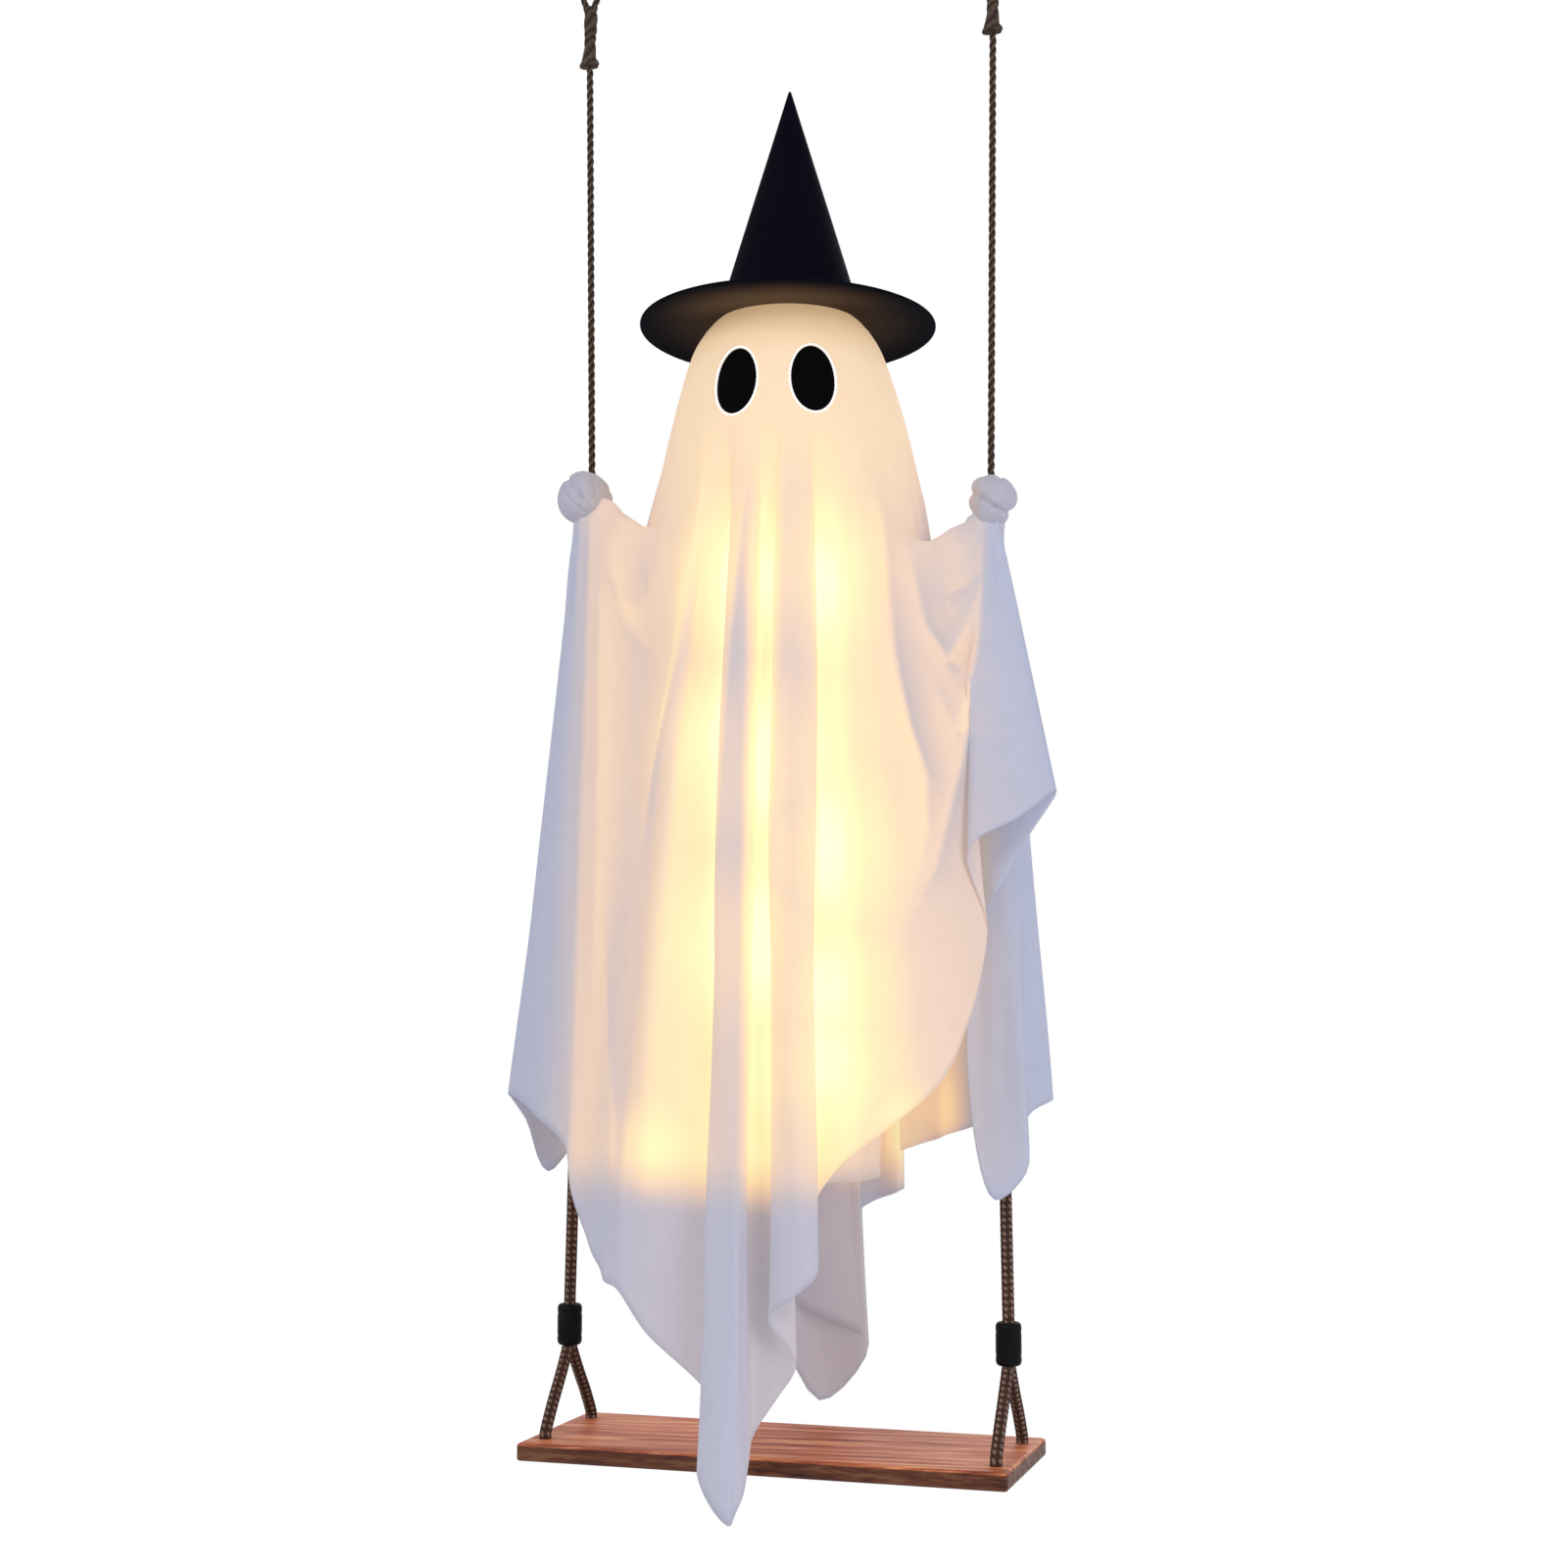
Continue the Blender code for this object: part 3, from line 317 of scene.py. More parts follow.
glow = graph.math("MULTIPLY", given["Light Through"], graph.math("MULTIPLY_ADD", spots, 0.40, 0.66))
glow = graph.math("MULTIPLY", glow, graph.fade(z, -0.45, -0.62, 0.86, 1.0))
low_edge, high_edge = (graph.math(way, given["Hem Height"], given["Hem Softness"])
                       for way in ("SUBTRACT", "ADD"))
glow = graph.math("MULTIPLY", glow, graph.fade(z, low_edge, high_edge, given["Below Hem"]), clamp=True)
target = graph.ramp(glow, (
    (0.00, linear(177, 181, 201)), (0.09, linear(197, 188, 192)), (0.24, linear(236, 207, 186)),
    (0.40, linear(253, 224, 182)), (0.56, linear(255, 237, 184)), (0.78, linear(255, 250, 194)),
    (1.00, linear(255, 255, 216)),
))
# Just under the hat the colour turns amber: painted warm light held under the brim.
under_hat = graph.math("MULTIPLY", graph.fade(z, -0.430, -0.372), 0.75)
target = graph.blend(under_hat, target, linear(240, 200, 145))
feed(graph, result, Glow=glow, Base_Color=graph.times(target, graph.math("MULTIPLY_ADD", glow, -0.50, 0.78)),
     Emission_Color=graph.times(target, graph.math("MULTIPLY_ADD", glow, 0.57, 0.27)))
print("group lamps_behind_cloth with", len(LAMP_SPOTS), "spots")

# %% [markdown]
# ## Threads, fibres and uneven colour
# Three more effects are needed by several finishes. A weave is two crossed waves over a slow crinkle
# whose low places get a little painted shade, loose fibres are a stretched noise, uneven colour a slow one.

# %% Groups: threads, fibres, uneven colour
graph, given, result = new_group("woven_threads", (("Threads per Metre", 2200.0), ("Crinkle Size", 70.0)),
                                 (("Height", "Float"), ("Shade", "Float")))
place = graph.place()
x, y, z = graph.parts(place)
pitch = graph.math("MULTIPLY", given["Threads per Metre"], math.tau)
warp, weft = (graph.math("SINE", graph.math("MULTIPLY", along, pitch))
              for along in (graph.math("ADD", x, graph.math("MULTIPLY", y, 0.5)), z))
threads = graph.math("MULTIPLY", graph.math("MULTIPLY", warp, weft), 0.12)
crinkle = graph.noise(place, given["Crinkle Size"], 3.0, 0.45)
# Shade: the cloth's colour is a little darker where the crinkle is low, a painted shade in its hollows.
feed(graph, result, Height=graph.math("ADD", threads, crinkle),
     Shade=graph.fade(crinkle, 0.30, 0.70, 0.975, 1.0))

graph, given, result = new_group("loose_fibres", (("Fibre Size", 900.0), ("Stretch", 0.25)),
                                 (("Height", "Float"), ("Mask", "Float")))
stretch = graph.add("ShaderNodeCombineXYZ", {"X": 1.0, "Y": 1.0, "Z": given["Stretch"]})
long_place = graph.add("ShaderNodeVectorMath", {0: graph.place(), 1: stretch}, operation="MULTIPLY")
fibres = graph.noise(long_place, given["Fibre Size"], 4.0, 0.7, 0.6)
feed(graph, result, Height=fibres, Mask=graph.fade(fibres, 0.36, 0.66))

graph, given, result = new_group("uneven_colour", (("Patch Size", 14.0), ("Amount", 0.1)),
                                 (("Shade", "Float"),))
patches = graph.fade(graph.noise(graph.place(), given["Patch Size"], 4.0), 0.3, 0.7)
feed(graph, result, Shade=graph.math("SUBTRACT", 1.0, graph.math("MULTIPLY", patches, given["Amount"])))
print("groups:", sorted(group.name for group in bpy.data.node_groups))

# %% [markdown]
# ## Cloth
# Drape, lining and fists are the same thin cotton, so one function makes all three, each with its
# own share of the glow. Fixed values stand on the shader's own sockets, and only what changes over
# the surface is linked, which keeps the finish whole when the model is exported.

# %% Cloth
def new_finish(name, roughness, metallic=0.0):
    finish = bpy.data.materials.new(name)
    finish.use_nodes = True
    graph, shader = Tree(finish.node_tree), finish.node_tree.nodes["Principled BSDF"].inputs
    feed(graph, shader, Roughness=roughness, Metallic=metallic)
    return finish, graph, shader


def cloth_finish(name, light=None, below_hem=0.12, softness=0.004, strength=1.0):
    """Thin cotton with the lamps behind it. With light=None each point's share is read from the mesh."""
    finish, graph, shader = new_finish(name, 0.88)
    through = graph.point_value("light_through") if light is None else light
    glow = use_group(graph, "lamps_behind_cloth", Light_Through=through, Below_Hem=below_hem,
                     Hem_Softness=softness)
    weave = use_group(graph, "woven_threads")
    feed(graph, shader, Emission_Strength=strength, Sheen_Weight=0.08, Specular_IOR_Level=0.15,
         Base_Color=graph.times(glow["Base Color"], weave["Shade"]), Emission_Color=glow["Emission Color"],
         Normal=graph.raised(weave["Height"], 0.16, 0.0012))
    return finish


drape_finish = cloth_finish("drape_cotton", None, 0.13, 0.028)
lining_finish = cloth_finish("lining_cotton", 0.42, 0.12, 0.03)
fist_finish = cloth_finish("fist_cotton", strength=0.6)
print("cloths ready")

# %% [markdown]
# ## Felt, rope and thread
# All three are loose fibres of two tones. On the ropes the mesh also says how high on a strand each
# point lies: the jute's grooves are painted darker, a painted shade, and the braid shows pale threads.
# The white thread also shines a little by itself, a painted light.

# %% Felt, rope, thread
FELT_DARK, FELT_LIGHT = (0.0010, 0.0013, 0.0042), (0.0028, 0.0032, 0.0078)


def fibre_finish(name, dark, light, roughness, fibre_size, bump, stretch=0.25, specular=0.5):
    finish, graph, shader = new_finish(name, roughness)
    fibres = use_group(graph, "loose_fibres", Fibre_Size=fibre_size, Stretch=stretch)
    patches = use_group(graph, "uneven_colour", Amount=0.18)
    color = graph.times(graph.blend(fibres["Mask"], dark, light), patches["Shade"])
    feed(graph, shader, Base_Color=color, Normal=graph.raised(fibres["Height"], bump, 0.0006),
         Specular_IOR_Level=specular)
    return finish, graph, shader


felt_finish, _, _ = fibre_finish("black_felt", FELT_DARK, FELT_LIGHT, 0.85, 1100.0, 0.5, 1.0, 0.03)
eye_finish, _, _ = fibre_finish("eye_felt", (0.0008, 0.0008, 0.0010), (0.0024, 0.0024, 0.0028), 0.85, 1400.0,
                                0.4, 1.0, 0.03)
thread_finish, graph, shader = fibre_finish("white_thread", (0.80, 0.78, 0.74), (0.92, 0.90, 0.86), 0.8,
                                            2500.0, 0.4)
# The thread also shines a little by itself: painted light, so the thin white rims stay bright.
feed(graph, shader, Emission_Color=(1.0, 0.95, 0.86), Emission_Strength=0.35)
print("felt and thread ready")


def rope_finish(name, dark, light, roughness, fibre_size, bump, groove_share, pale=None):
    """Fibres whose colour follows the strands: groove_share darkens the grooves, a painted shade; pale lies
    on the crowns.
    """
    finish, graph, shader = fibre_finish(name, dark, light, roughness, fibre_size, bump, specular=0.15)
    fibres = shader["Base Color"].links[0].from_socket
    # The grooves get a darker copy of the fibres: painted shade.
    grooves = graph.times(fibres, groove_share)
    feed(graph, shader, Base_Color=graph.blend(graph.point_value("strand_crown"), grooves, pale or fibres))
    return finish


jute_finish = rope_finish("jute_fibre", linear(56, 44, 36), linear(114, 97, 84), 0.95, 1500.0, 0.9, 0.22)
braid_finish = rope_finish("braid_fibre", linear(34, 22, 18), linear(84, 56, 46), 0.85, 1300.0, 0.7, 1.0,
                           linear(164, 138, 122))
print("rope finishes ready")

# %% [markdown]
# ## The underside of the brim
# The glowing head warms the felt above it. The shine is painted where the felt faces down, strongest
# close to the head and on the near side, so the top of the brim stays black from every side.

# %% Brim felt
brim_finish, graph, shader = fibre_finish("brim_felt", FELT_DARK, FELT_LIGHT, 0.85, 1100.0, 0.5, 1.0, 0.03)
x, y, _ = graph.parts(graph.place())
close = graph.fade(graph.length(x, y), 0.128, 0.062)
under = graph.math("LESS_THAN", graph.parts(graph.place("Normal"))["Z"], 0.0)
near_side = graph.fade(y, -0.02, -0.10, 0.25, 1.0)
warmth = graph.math("MULTIPLY", graph.math("MULTIPLY", close, under), near_side)
feed(graph, shader, Emission_Color=graph.blend(warmth, BLACK, linear(96, 72, 50)), Emission_Strength=1.0)
print("brim finish ready")

# %% [markdown]
# ## Wood
# The board is stained red-brown, with long dark streaks of grain; its sides are painted darker, a
# painted shade. Two noises stretched along the board give the streaks, and a ramp turns them into
# the stain's colours.

# %% Wood
wood_finish, graph, shader = new_finish("stained_board", 0.5)
place = graph.place()
along_board = graph.add("ShaderNodeMapping", {"Vector": place, "Rotation": (0.0, 0.0, -SEAT_TWIST),
                        "Scale": (0.7, 16.0, 16.0)})
streaks, fine = graph.noise(along_board, 9.0, 6.0, 0.62, 0.35), graph.noise(along_board, 42.0, 4.0)
grain = graph.math("ADD", graph.math("MULTIPLY", streaks, 0.72), graph.math("MULTIPLY", fine, 0.35))
color = graph.ramp(grain, ((0.38, linear(70, 29, 16)), (0.46, linear(142, 67, 38)),
                           (0.54, linear(178, 91, 53)), (0.64, linear(218, 146, 96))))
# Below the top face the colour drops to a fifth: painted shade on the board's sides.
on_top = graph.fade(graph.parts(place)["Z"], SEAT_TOP_Z - 0.0026, SEAT_TOP_Z - 0.0012)
feed(graph, shader, Base_Color=graph.blend(on_top, graph.times(color, 0.20), color), Specular_IOR_Level=0.25,
     Normal=graph.raised(grain, 0.35, 0.0012), Roughness=graph.fade(grain, 0.35, 0.7, 0.60, 0.42))
print("wood ready")

# %% [markdown]
# ## Plastic, steel, copper and lamps
# The hard parts are nearly even in colour, so a slow change of shade and polish is enough. Each lamp
# is a bead that shines by itself.

# %% Plastic, steel, copper and lamps
def plain_finish(name, color, roughness, metallic=0.0, patch_amount=0.2, specular=0.5):
    """A hard finish whose colour and polish change slowly over it."""
    finish, graph, shader = new_finish(name, roughness, metallic)
    shade = use_group(graph, "uneven_colour", Amount=patch_amount, Patch_Size=60.0)["Shade"]
    feed(graph, shader, Base_Color=graph.blend(shade, BLACK, color), Specular_IOR_Level=specular,
         Roughness=graph.fade(shade, 0.8, 1.0, roughness + 0.12, roughness))
    return finish


black_finish = plain_finish("black_moulding", (0.0035, 0.0032, 0.0042), 0.55, specular=0.08)
shell_finish = plain_finish("milky_moulding", (0.82, 0.76, 0.64), 0.40, 0.0, 0.06)
steel_finish = plain_finish("zinc_wire", (0.56, 0.56, 0.58), 0.34, 1.0)
copper_finish = plain_finish("lacquered_copper", (0.62, 0.30, 0.16), 0.35, 1.0)
lamp_finish, graph, shader = new_finish("warm_lamp", 0.3)
feed(graph, shader, Base_Color=(1.0, 0.82, 0.50), Emission_Color=(1.0, 0.78, 0.38), Emission_Strength=1.0)
print("materials:", len(bpy.data.materials))

# %% [markdown]
# ## Making and riding a piece
# Every piece is a mesh that rides on the body "root". One helper makes it, smooths it and gives it
# its finish. Others join rings of points with faces, keep numbers on the points, and give a sheet
# its thickness.

# %% Piece and face helpers
def make_piece(name, points, faces, finish, replaces=()):
    mesh = bpy.data.meshes.new(name)
    mesh.from_pydata([tuple(map(float, p)) for p in points], [], [tuple(map(int, f)) for f in faces])
    mesh.validate()
    mesh.update()
    mesh.shade_smooth()
    mesh.materials.append(finish)
    piece = bpy.data.objects.new(name, mesh)
    scene.collection.objects.link(piece)
    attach(piece, "root")
    if replaces:
        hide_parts(*replaces)
    return piece


def ring_faces(rings, around, loop=False):
    """Quads between rings of points: the rings join into a loop, or a fan closes each end."""
    faces = []
    for ring in range(rings if loop else rings - 1):
        for k in range(around):
            nxt = (k + 1) % around
            a, b = ring * around, ((ring + 1) % rings) * around
            faces.append((a + k, a + nxt, b + nxt, b + k))
    if not loop:
        faces.append(tuple(range(around))[::-1])
        faces.append(tuple((rings - 1) * around + k for k in range(around)))
    return faces


def band_faces(first, rings, around):
    """Quads down a tube of rings, which starts at the point numbered first."""
    faces = []
    for ring in range(rings - 1):
        for k in range(around):
            a, b = first + ring * around + k, first + ring * around + (k + 1) % around
            faces.append((a, a + around, b + around, b))
    return faces


def ball_faces(rings, around):
    """A closed skin: one point, rings of points below it and one point at the end."""
    last = 1 + (rings - 1) * around
    fans = [(0, 1 + k, 1 + (k + 1) % around) for k in range(around)]
    fans += [(last + k, last + around, last + (k + 1) % around) for k in range(around)]
    return fans + band_faces(1, rings, around)


def keep_on_points(piece, name, values):
    store = piece.data.attributes.new(name, "FLOAT", "POINT")
    store.data.foreach_set("value", np.asarray(values, np.float32).ravel())


CLOTH_THICKNESS = 0.0005


def thicken(sheet):
    solid = sheet.modifiers.new("thickness", "SOLIDIFY")
    solid.thickness = CLOTH_THICKNESS
    solid.offset = -1.0


print("piece helpers ready")

# %% [markdown]
# ## Round pieces and ropes
# A hat, a ferrule or a bead is an outline spun about an axis. A rope is a skin along a route: the
# route becomes one smooth curve with points an even distance apart, and the rope's outline gives the
# radius at each angle and length.

# %% Turned pieces and ropes
def turned(name, outline, finish, replaces, steps, centre=(0.0, 0.0), shape=None):
    """A closed outline of (radius, height) spun about an upright axis; shape may move each point."""
    points, faces = [], []
    count, (x, y) = len(outline), centre
    for step in range(steps):
        angle = math.tau * step / steps
        for radius, height in outline:
            if shape:
                radius, height = shape(radius, height, angle)
            points.append((x + radius * math.cos(angle), y + radius * math.sin(angle), height))
    for step in range(steps):
        a, b = step * count, ((step + 1) % steps) * count
        for k in range(count):
            nxt = (k + 1) % count
            faces.append((a + k, b + k, b + nxt, a + nxt))
    piece = make_piece(name, points, faces, finish, replaces)
    tidy = bmesh.new()
    tidy.from_mesh(piece.data)
    bmesh.ops.remove_doubles(tidy, verts=tidy.verts, dist=0.00001)
    bmesh.ops.recalc_face_normals(tidy, faces=tidy.faces)
    tidy.to_mesh(piece.data)
    tidy.free()
    piece.data.set_sharp_from_angle(angle=math.radians(40))
    return piece


def across_path(path):
    """For each point of a path two directions across it, which turn as little as the path allows."""
    ahead = np.gradient(path, axis=0)
    ahead /= np.linalg.norm(ahead, axis=1, keepdims=True)
    side = np.cross(ahead[0], (0.0, 1.0, 0.0))
    if np.linalg.norm(side) < 0.1:
        side = np.cross(ahead[0], (1.0, 0.0, 0.0))
    sides = []
    for direction in ahead:
        side = side - direction * np.dot(side, direction)
        side /= np.linalg.norm(side)
        sides.append(side)
    return np.array(sides), np.cross(ahead, sides)


def lengths_along(path):
    """How far along the path each of its points lies."""
    return np.concatenate([[0.0], np.cumsum(np.linalg.norm(np.diff(path, axis=0), axis=1))])


def spaced(points, spacing):
    """The same route with points an even distance apart, rounded at its corners by a smooth curve."""
    points = [np.array(p, float) for p in points]
    first, last = points[0] * 2 - points[1], points[-1] * 2 - points[-2]
    padded = [first, *points, last]
    fine = []
    for i in range(1, len(padded) - 2):
        p0, p1, p2, p3 = padded[i - 1:i + 3]
        for t in np.linspace(0, 1, 24, endpoint=False):
            fine.append(0.5 * (2 * p1 + (p2 - p0) * t + (2 * p0 - 5 * p1 + 4 * p2 - p3) * t ** 2
                               + (3 * p1 - p0 - 3 * p2 + p3) * t ** 3))
    fine.append(points[-1])
    fine = np.array(fine)
    run = lengths_along(fine)
    count = max(2, round(run[-1] / spacing))
    at = np.linspace(0.0, run[-1], count + 1)
    return np.column_stack([np.interp(at, run, fine[:, axis]) for axis in range(3)])


def rope_mesh(name, route, outline, spacing, around, finish, replaces=(), crowns=None):
    """A closed skin: outline(angle, run) gives its radius, crowns how high on a strand each point is."""
    path = spaced(route, spacing)
    sides, ups = across_path(path)
    run, angles = lengths_along(path)[:, None], np.arange(around)[None, :] * math.tau / around
    radius = outline(angles, run) + np.zeros((len(path), around))
    points = (path[:, None, :] + radius[..., None] * (np.cos(angles)[..., None] * sides[:, None, :]
              + np.sin(angles)[..., None] * ups[:, None, :]))
    piece = make_piece(name, points.reshape(-1, 3), ring_faces(len(path), around), finish, replaces)
    if crowns:
        keep_on_points(piece, "strand_crown", crowns(angles, run))
    return piece, [tuple(p) for p in path]


print("turned pieces and ropes ready")

# %% [markdown]
# ## The drape
# One square of cotton lies over the head and both hands. A simulation would settle into folds of its
# own, and these are those of one real fall, so the cloth is a loft: a line for each fold from the
# head to the hem, smooth curves across the lines, and rows down them. Each line also says how much
# lamp light comes through there: little where the cloth lies folded in three, as in the long tail,
# and much where it is a single layer in front of a lamp.

# %% Fold lines
# Each entry: x, y, z where the line leaves the shoulder or the fist, x, y, z where it meets the hem,
# all in millimetres, and the light through the cloth in per cent.
LEFT_SLEEVE_FRONT = (
    (19, 0, 0, -244, 0, -1034, 0), (15, -11, 0, -213, -30, -1049, 2), (3, -19, -2, -178, -50, -1074, 14),
    (-14, -26, -12, -170, -57, -1110, 34), (-34, -36, -34, -158, -66, -1140, 38),
)
FRONT = (
    (-106, -57, 22, -141, -82, -1164, 28), (-84, -72, 8, -130, -91, -1178, 32),
    (-65, -94, 2, -119, -101, -1183, 44), (-53, -90, 1, -94, -106, -1214, 66),
    (-29, -92, 0, -32, -115, -1273, 98), (-28, -103, 0, -43, -138, -1317, 30),
    (-15, -106, 0, -14, -149, -1352, 24), (-7, -102, 0, -7, -140, -1332, 52),
    (-3, -94, 0, -3, -122, -1293, 100), (3, -93, 0, 17, -116, -1259, 100),
    (13, -93, 0, 33, -123, -1234, 100), (11, -103, 0, 12, -134, -1198, 50),
    (28, -106, 0, 34, -147, -1181, 36), (42, -102, 0, 52, -140, -1162, 46),
    (41, -93, 0, 40, -121, -1128, 100), (56, -93, 0, 61, -113, -1087, 86),
    (74, -92, 0, 103, -110, -1053, 54), (92, -84, 0, 141, -94, -1019, 36),
    (114, -61, 10, 162, -73, -969, 34),
)
RIGHT_SLEEVE_FRONT = (
    (-34, -36, -34, 174, -48, -898, 30), (-14, -26, -14, 161, -62, -833, 16),
    (1, -20, -4, 201, -56, -808, 5), (12, -14, 0, 230, -34, -785, 0), (16, -10, 0, 197, -42, -838, 0),
    (18, -6, 0, 160, -32, -915, 10), (19, -2, 0, 160, -36, -1060, 10), (19, 2, 0, 177, -37, -1113, 6),
    (18, 6, 0, 201, -31, -1092, 2), (17, 8, 0, 203, -22, -1047, 0), (16, 10, 0, 221, -4, -1034, 0),
)
RIGHT_SLEEVE_BACK = (
    (9, 15, -2, 190, 32, -1028, 5), (-6, 23, -8, 150, 60, -1058, 15), (-34, 36, -34, 120, 90, -1070, 35),
)
BACK = (
    (98, 66, 14, 93, 112, -1079, 45), (79, 84, 0, 38, 128, -1103, 40), (69, 86, 0, 75, 118, -1118, 80),
    (58, 92, 0, 44, 122, -1133, 50), (40, 99, 0, -29, 116, -1205, 40), (28, 98, 0, 4, 106, -1300, 75),
    (16, 102, 0, 52, 94, -1248, 90), (0, 108, 0, -4, 102, -1222, 40), (-20, 106, 0, -63, 116, -1190, 50),
    (-42, 96, 0, -88, 128, -1176, 80), (-64, 90, 0, -116, 116, -1166, 55),
    (-84, 78, 6, -140, 108, -1150, 40), (-106, 58, 20, -168, 86, -1130, 30),
)
LEFT_SLEEVE_BACK = (
    (-34, 36, -34, -198, 62, -1074, 16), (-10, 25, -10, -223, 45, -1102, 6),
    (9, 16, -1, -235, 20, -1056, 0),
)
SLEEVES_AND_BODY = ((-1, LEFT_SLEEVE_FRONT), (0, FRONT), (1, RIGHT_SLEEVE_FRONT), (1, RIGHT_SLEEVE_BACK),
                    (0, BACK), (-1, LEFT_SLEEVE_BACK))
print("fold lines:", sum(len(rows) for _, rows in SLEEVES_AND_BODY))

# %% Loft of the drape
def smooth_through(stations, knots, counts):
    """Points on a smooth curve through the stations, which may be whole arrays of points."""
    first, last = stations[0] * 2 - stations[1], stations[-1] * 2 - stations[-2]
    places, at = [first, *stations, last], [2 * knots[0] - knots[1], *knots, 2 * knots[-1] - knots[-2]]
    found = []
    for i, count in enumerate(counts):
        for step in range(count):
            t = at[i + 1] + (at[i + 2] - at[i + 1]) * step / count
            found.append(curve_point(places[i:i + 4], at[i:i + 4], t))
    found.append(stations[-1])
    return np.array(found)


def curve_point(p, t, at):
    def mix(a, b, ta, tb):
        return a * ((tb - at) / (tb - ta)) + b * ((at - ta) / (tb - ta))

    a1, a2, a3 = mix(p[0], p[1], t[0], t[1]), mix(p[1], p[2], t[1], t[2]), mix(p[2], p[3], t[2], t[3])
    return mix(mix(a1, a2, t[0], t[2]), mix(a2, a3, t[1], t[3]), t[1], t[2])


def knots_of(points):
    steps = [math.sqrt(max(float(np.linalg.norm(b - a)), 1e-4)) for a, b in zip(points, points[1:])]
    return [0.0, *np.cumsum(steps)]


print("curve helpers ready")

# %% [markdown]
# Each fold line starts at the crown of the head, runs down the dome, sags into the valley beside it
# and falls to the hem. Close to a hand the cloth is pulled tight, so there it sags in full.

# %% One fold line
DOME_ANGLES = tuple(map(math.radians, (0, 24, 46, 60, 72)))
NECK_Z, NECK_RADIUS = HEAD_Z - 0.030, 0.0965
# Shares of the way from the neck to a hand, and how far the cloth sags there.
VALLEY_SHARES = (0.17, 0.35, 0.44, 0.62, 0.82)
VALLEY_SAGS = {-1: (0.042, 0.075, 0.064, 0.023, -0.004), 1: (0.050, 0.103, 0.094, 0.053, 0.008)}
ROWS = (2, 2, 2, 3, 6, 6, 8, 6, 6, 5, 4, 3, 22, 22, 22)


def fold_column(start, hem, pull, hand, bearing):
    """One fold line from the crown of the head, over the valley beside it, down to the hem."""
    out, up = np.array([math.cos(bearing), math.sin(bearing), 0.0]), np.array([0.0, 0.0, 1.0])
    dome = [HEAD_Z * up + CLOTH_OUTER * (math.sin(a) * out + math.cos(a) * up) for a in DOME_ANGLES]
    ahead, sideways = max(0.0, -math.sin(bearing)), abs(math.cos(bearing))
    neck = out * (NECK_RADIUS - 0.0040 * min(1.0, 1.6 * ahead) + 0.0055 * sideways ** 4) + up * NECK_Z
    valley = [neck + (start - neck) * share - sag * pull * up
              for share, sag in zip(VALLEY_SHARES, VALLEY_SAGS[hand])]
    fall = [start + share * (hem - start) for share in (0.04, 0.33, 0.66)]
    stations = [*dome, neck, *valley, start, *fall, hem]
    return smooth_through(stations, knots_of(stations), ROWS)


print("rows down a line:", sum(ROWS) + 1)

# %% All the fold lines
RING_RADIUS = 0.0195
# The sleeve's ring closes round the rope inside the fist, tighter than the solid's ring.
RING_SHARE = {-1: 0.70, 1: 0.50}
starts, hems, pulls, hands, light_of_line, is_front = [], [], [], [], [], []
for side, rows in SLEEVES_AND_BODY:
    for *place, light in rows:
        x, y, z, *hem = (v / 1000 for v in place)
        hand = side or (-1 if x < 0 else 1)
        ring = HAND_Z[hand] - RING_DROP
        if side and abs(x) < RING_RADIUS:
            x, y, z = x * RING_SHARE[hand], y * RING_SHARE[hand], z + 0.006
        start = np.array((side * (HAND_X + x), y, ring + z) if side else (x, y, SHOULDER_Z + z))
        starts.append(start)
        hems.append(np.array(hem))
        pulls.append(min(1.0, max(0.0, (start[2] - SHOULDER_Z) / (ring - SHOULDER_Z))) ** 0.7)
        hands.append(hand)
        light_of_line.append(light / 100)
        is_front.append(rows is FRONT)

# Over the head the lines leave at smoothed bearings, so that no fold turns over on itself there.
bearings = np.unwrap([math.atan2(start[1], start[0]) for start in starts])
once_round = math.tau * np.sign(bearings[-1] - bearings[0])
for _ in range(3):
    before = np.roll(bearings, 1) - once_round * (np.arange(len(starts)) == 0)
    after = np.roll(bearings, -1) + once_round * (np.arange(len(starts)) == len(starts) - 1)
    bearings = (before + 2 * bearings + after) / 4
columns = [fold_column(*facts) for facts in zip(starts, hems, pulls, hands, bearings)]
print("fold lines built:", len(columns))

# %% Curves from line to line
FRONT_COLUMNS, OTHER_COLUMNS = 12, 5
ahead_of = [columns[-1], *columns, columns[0], columns[1]]
knots = knots_of([column[-1] for column in ahead_of])
grid, light_grid, line_place = [], [], []
for i in range(1, len(columns) + 1):
    between_lines = FRONT_COLUMNS if is_front[i - 1] else OTHER_COLUMNS
    here, there = light_of_line[i - 1], light_of_line[i % len(columns)]
    for share in (step / between_lines for step in range(between_lines)):
        at = knots[i] + (knots[i + 1] - knots[i]) * share
        grid.append(curve_point(ahead_of[i - 1:i + 3], knots[i - 1:i + 3], at))
        light_grid.append(here + (there - here) * (share * share * (3 - 2 * share)))
        line_place.append(i - 1 + share)
grid = np.array(grid)
line_place = np.array(line_place)[:, None]
print("drape grid", grid.shape)

# %% [markdown]
# Over the head and shoulders the lamps are far behind, so the light there is even. The differences
# between the folds grow from nothing at the neck to their full measure at the lamps' height.

# %% Light through the cloth
HEAD_LIGHT = 0.60


def step_up(value, low, high):
    """0 below low, 1 above high, and smooth between them."""
    share = np.clip((value - low) / (high - low), 0.0, 1.0)
    return share * share * (3 - 2 * share)


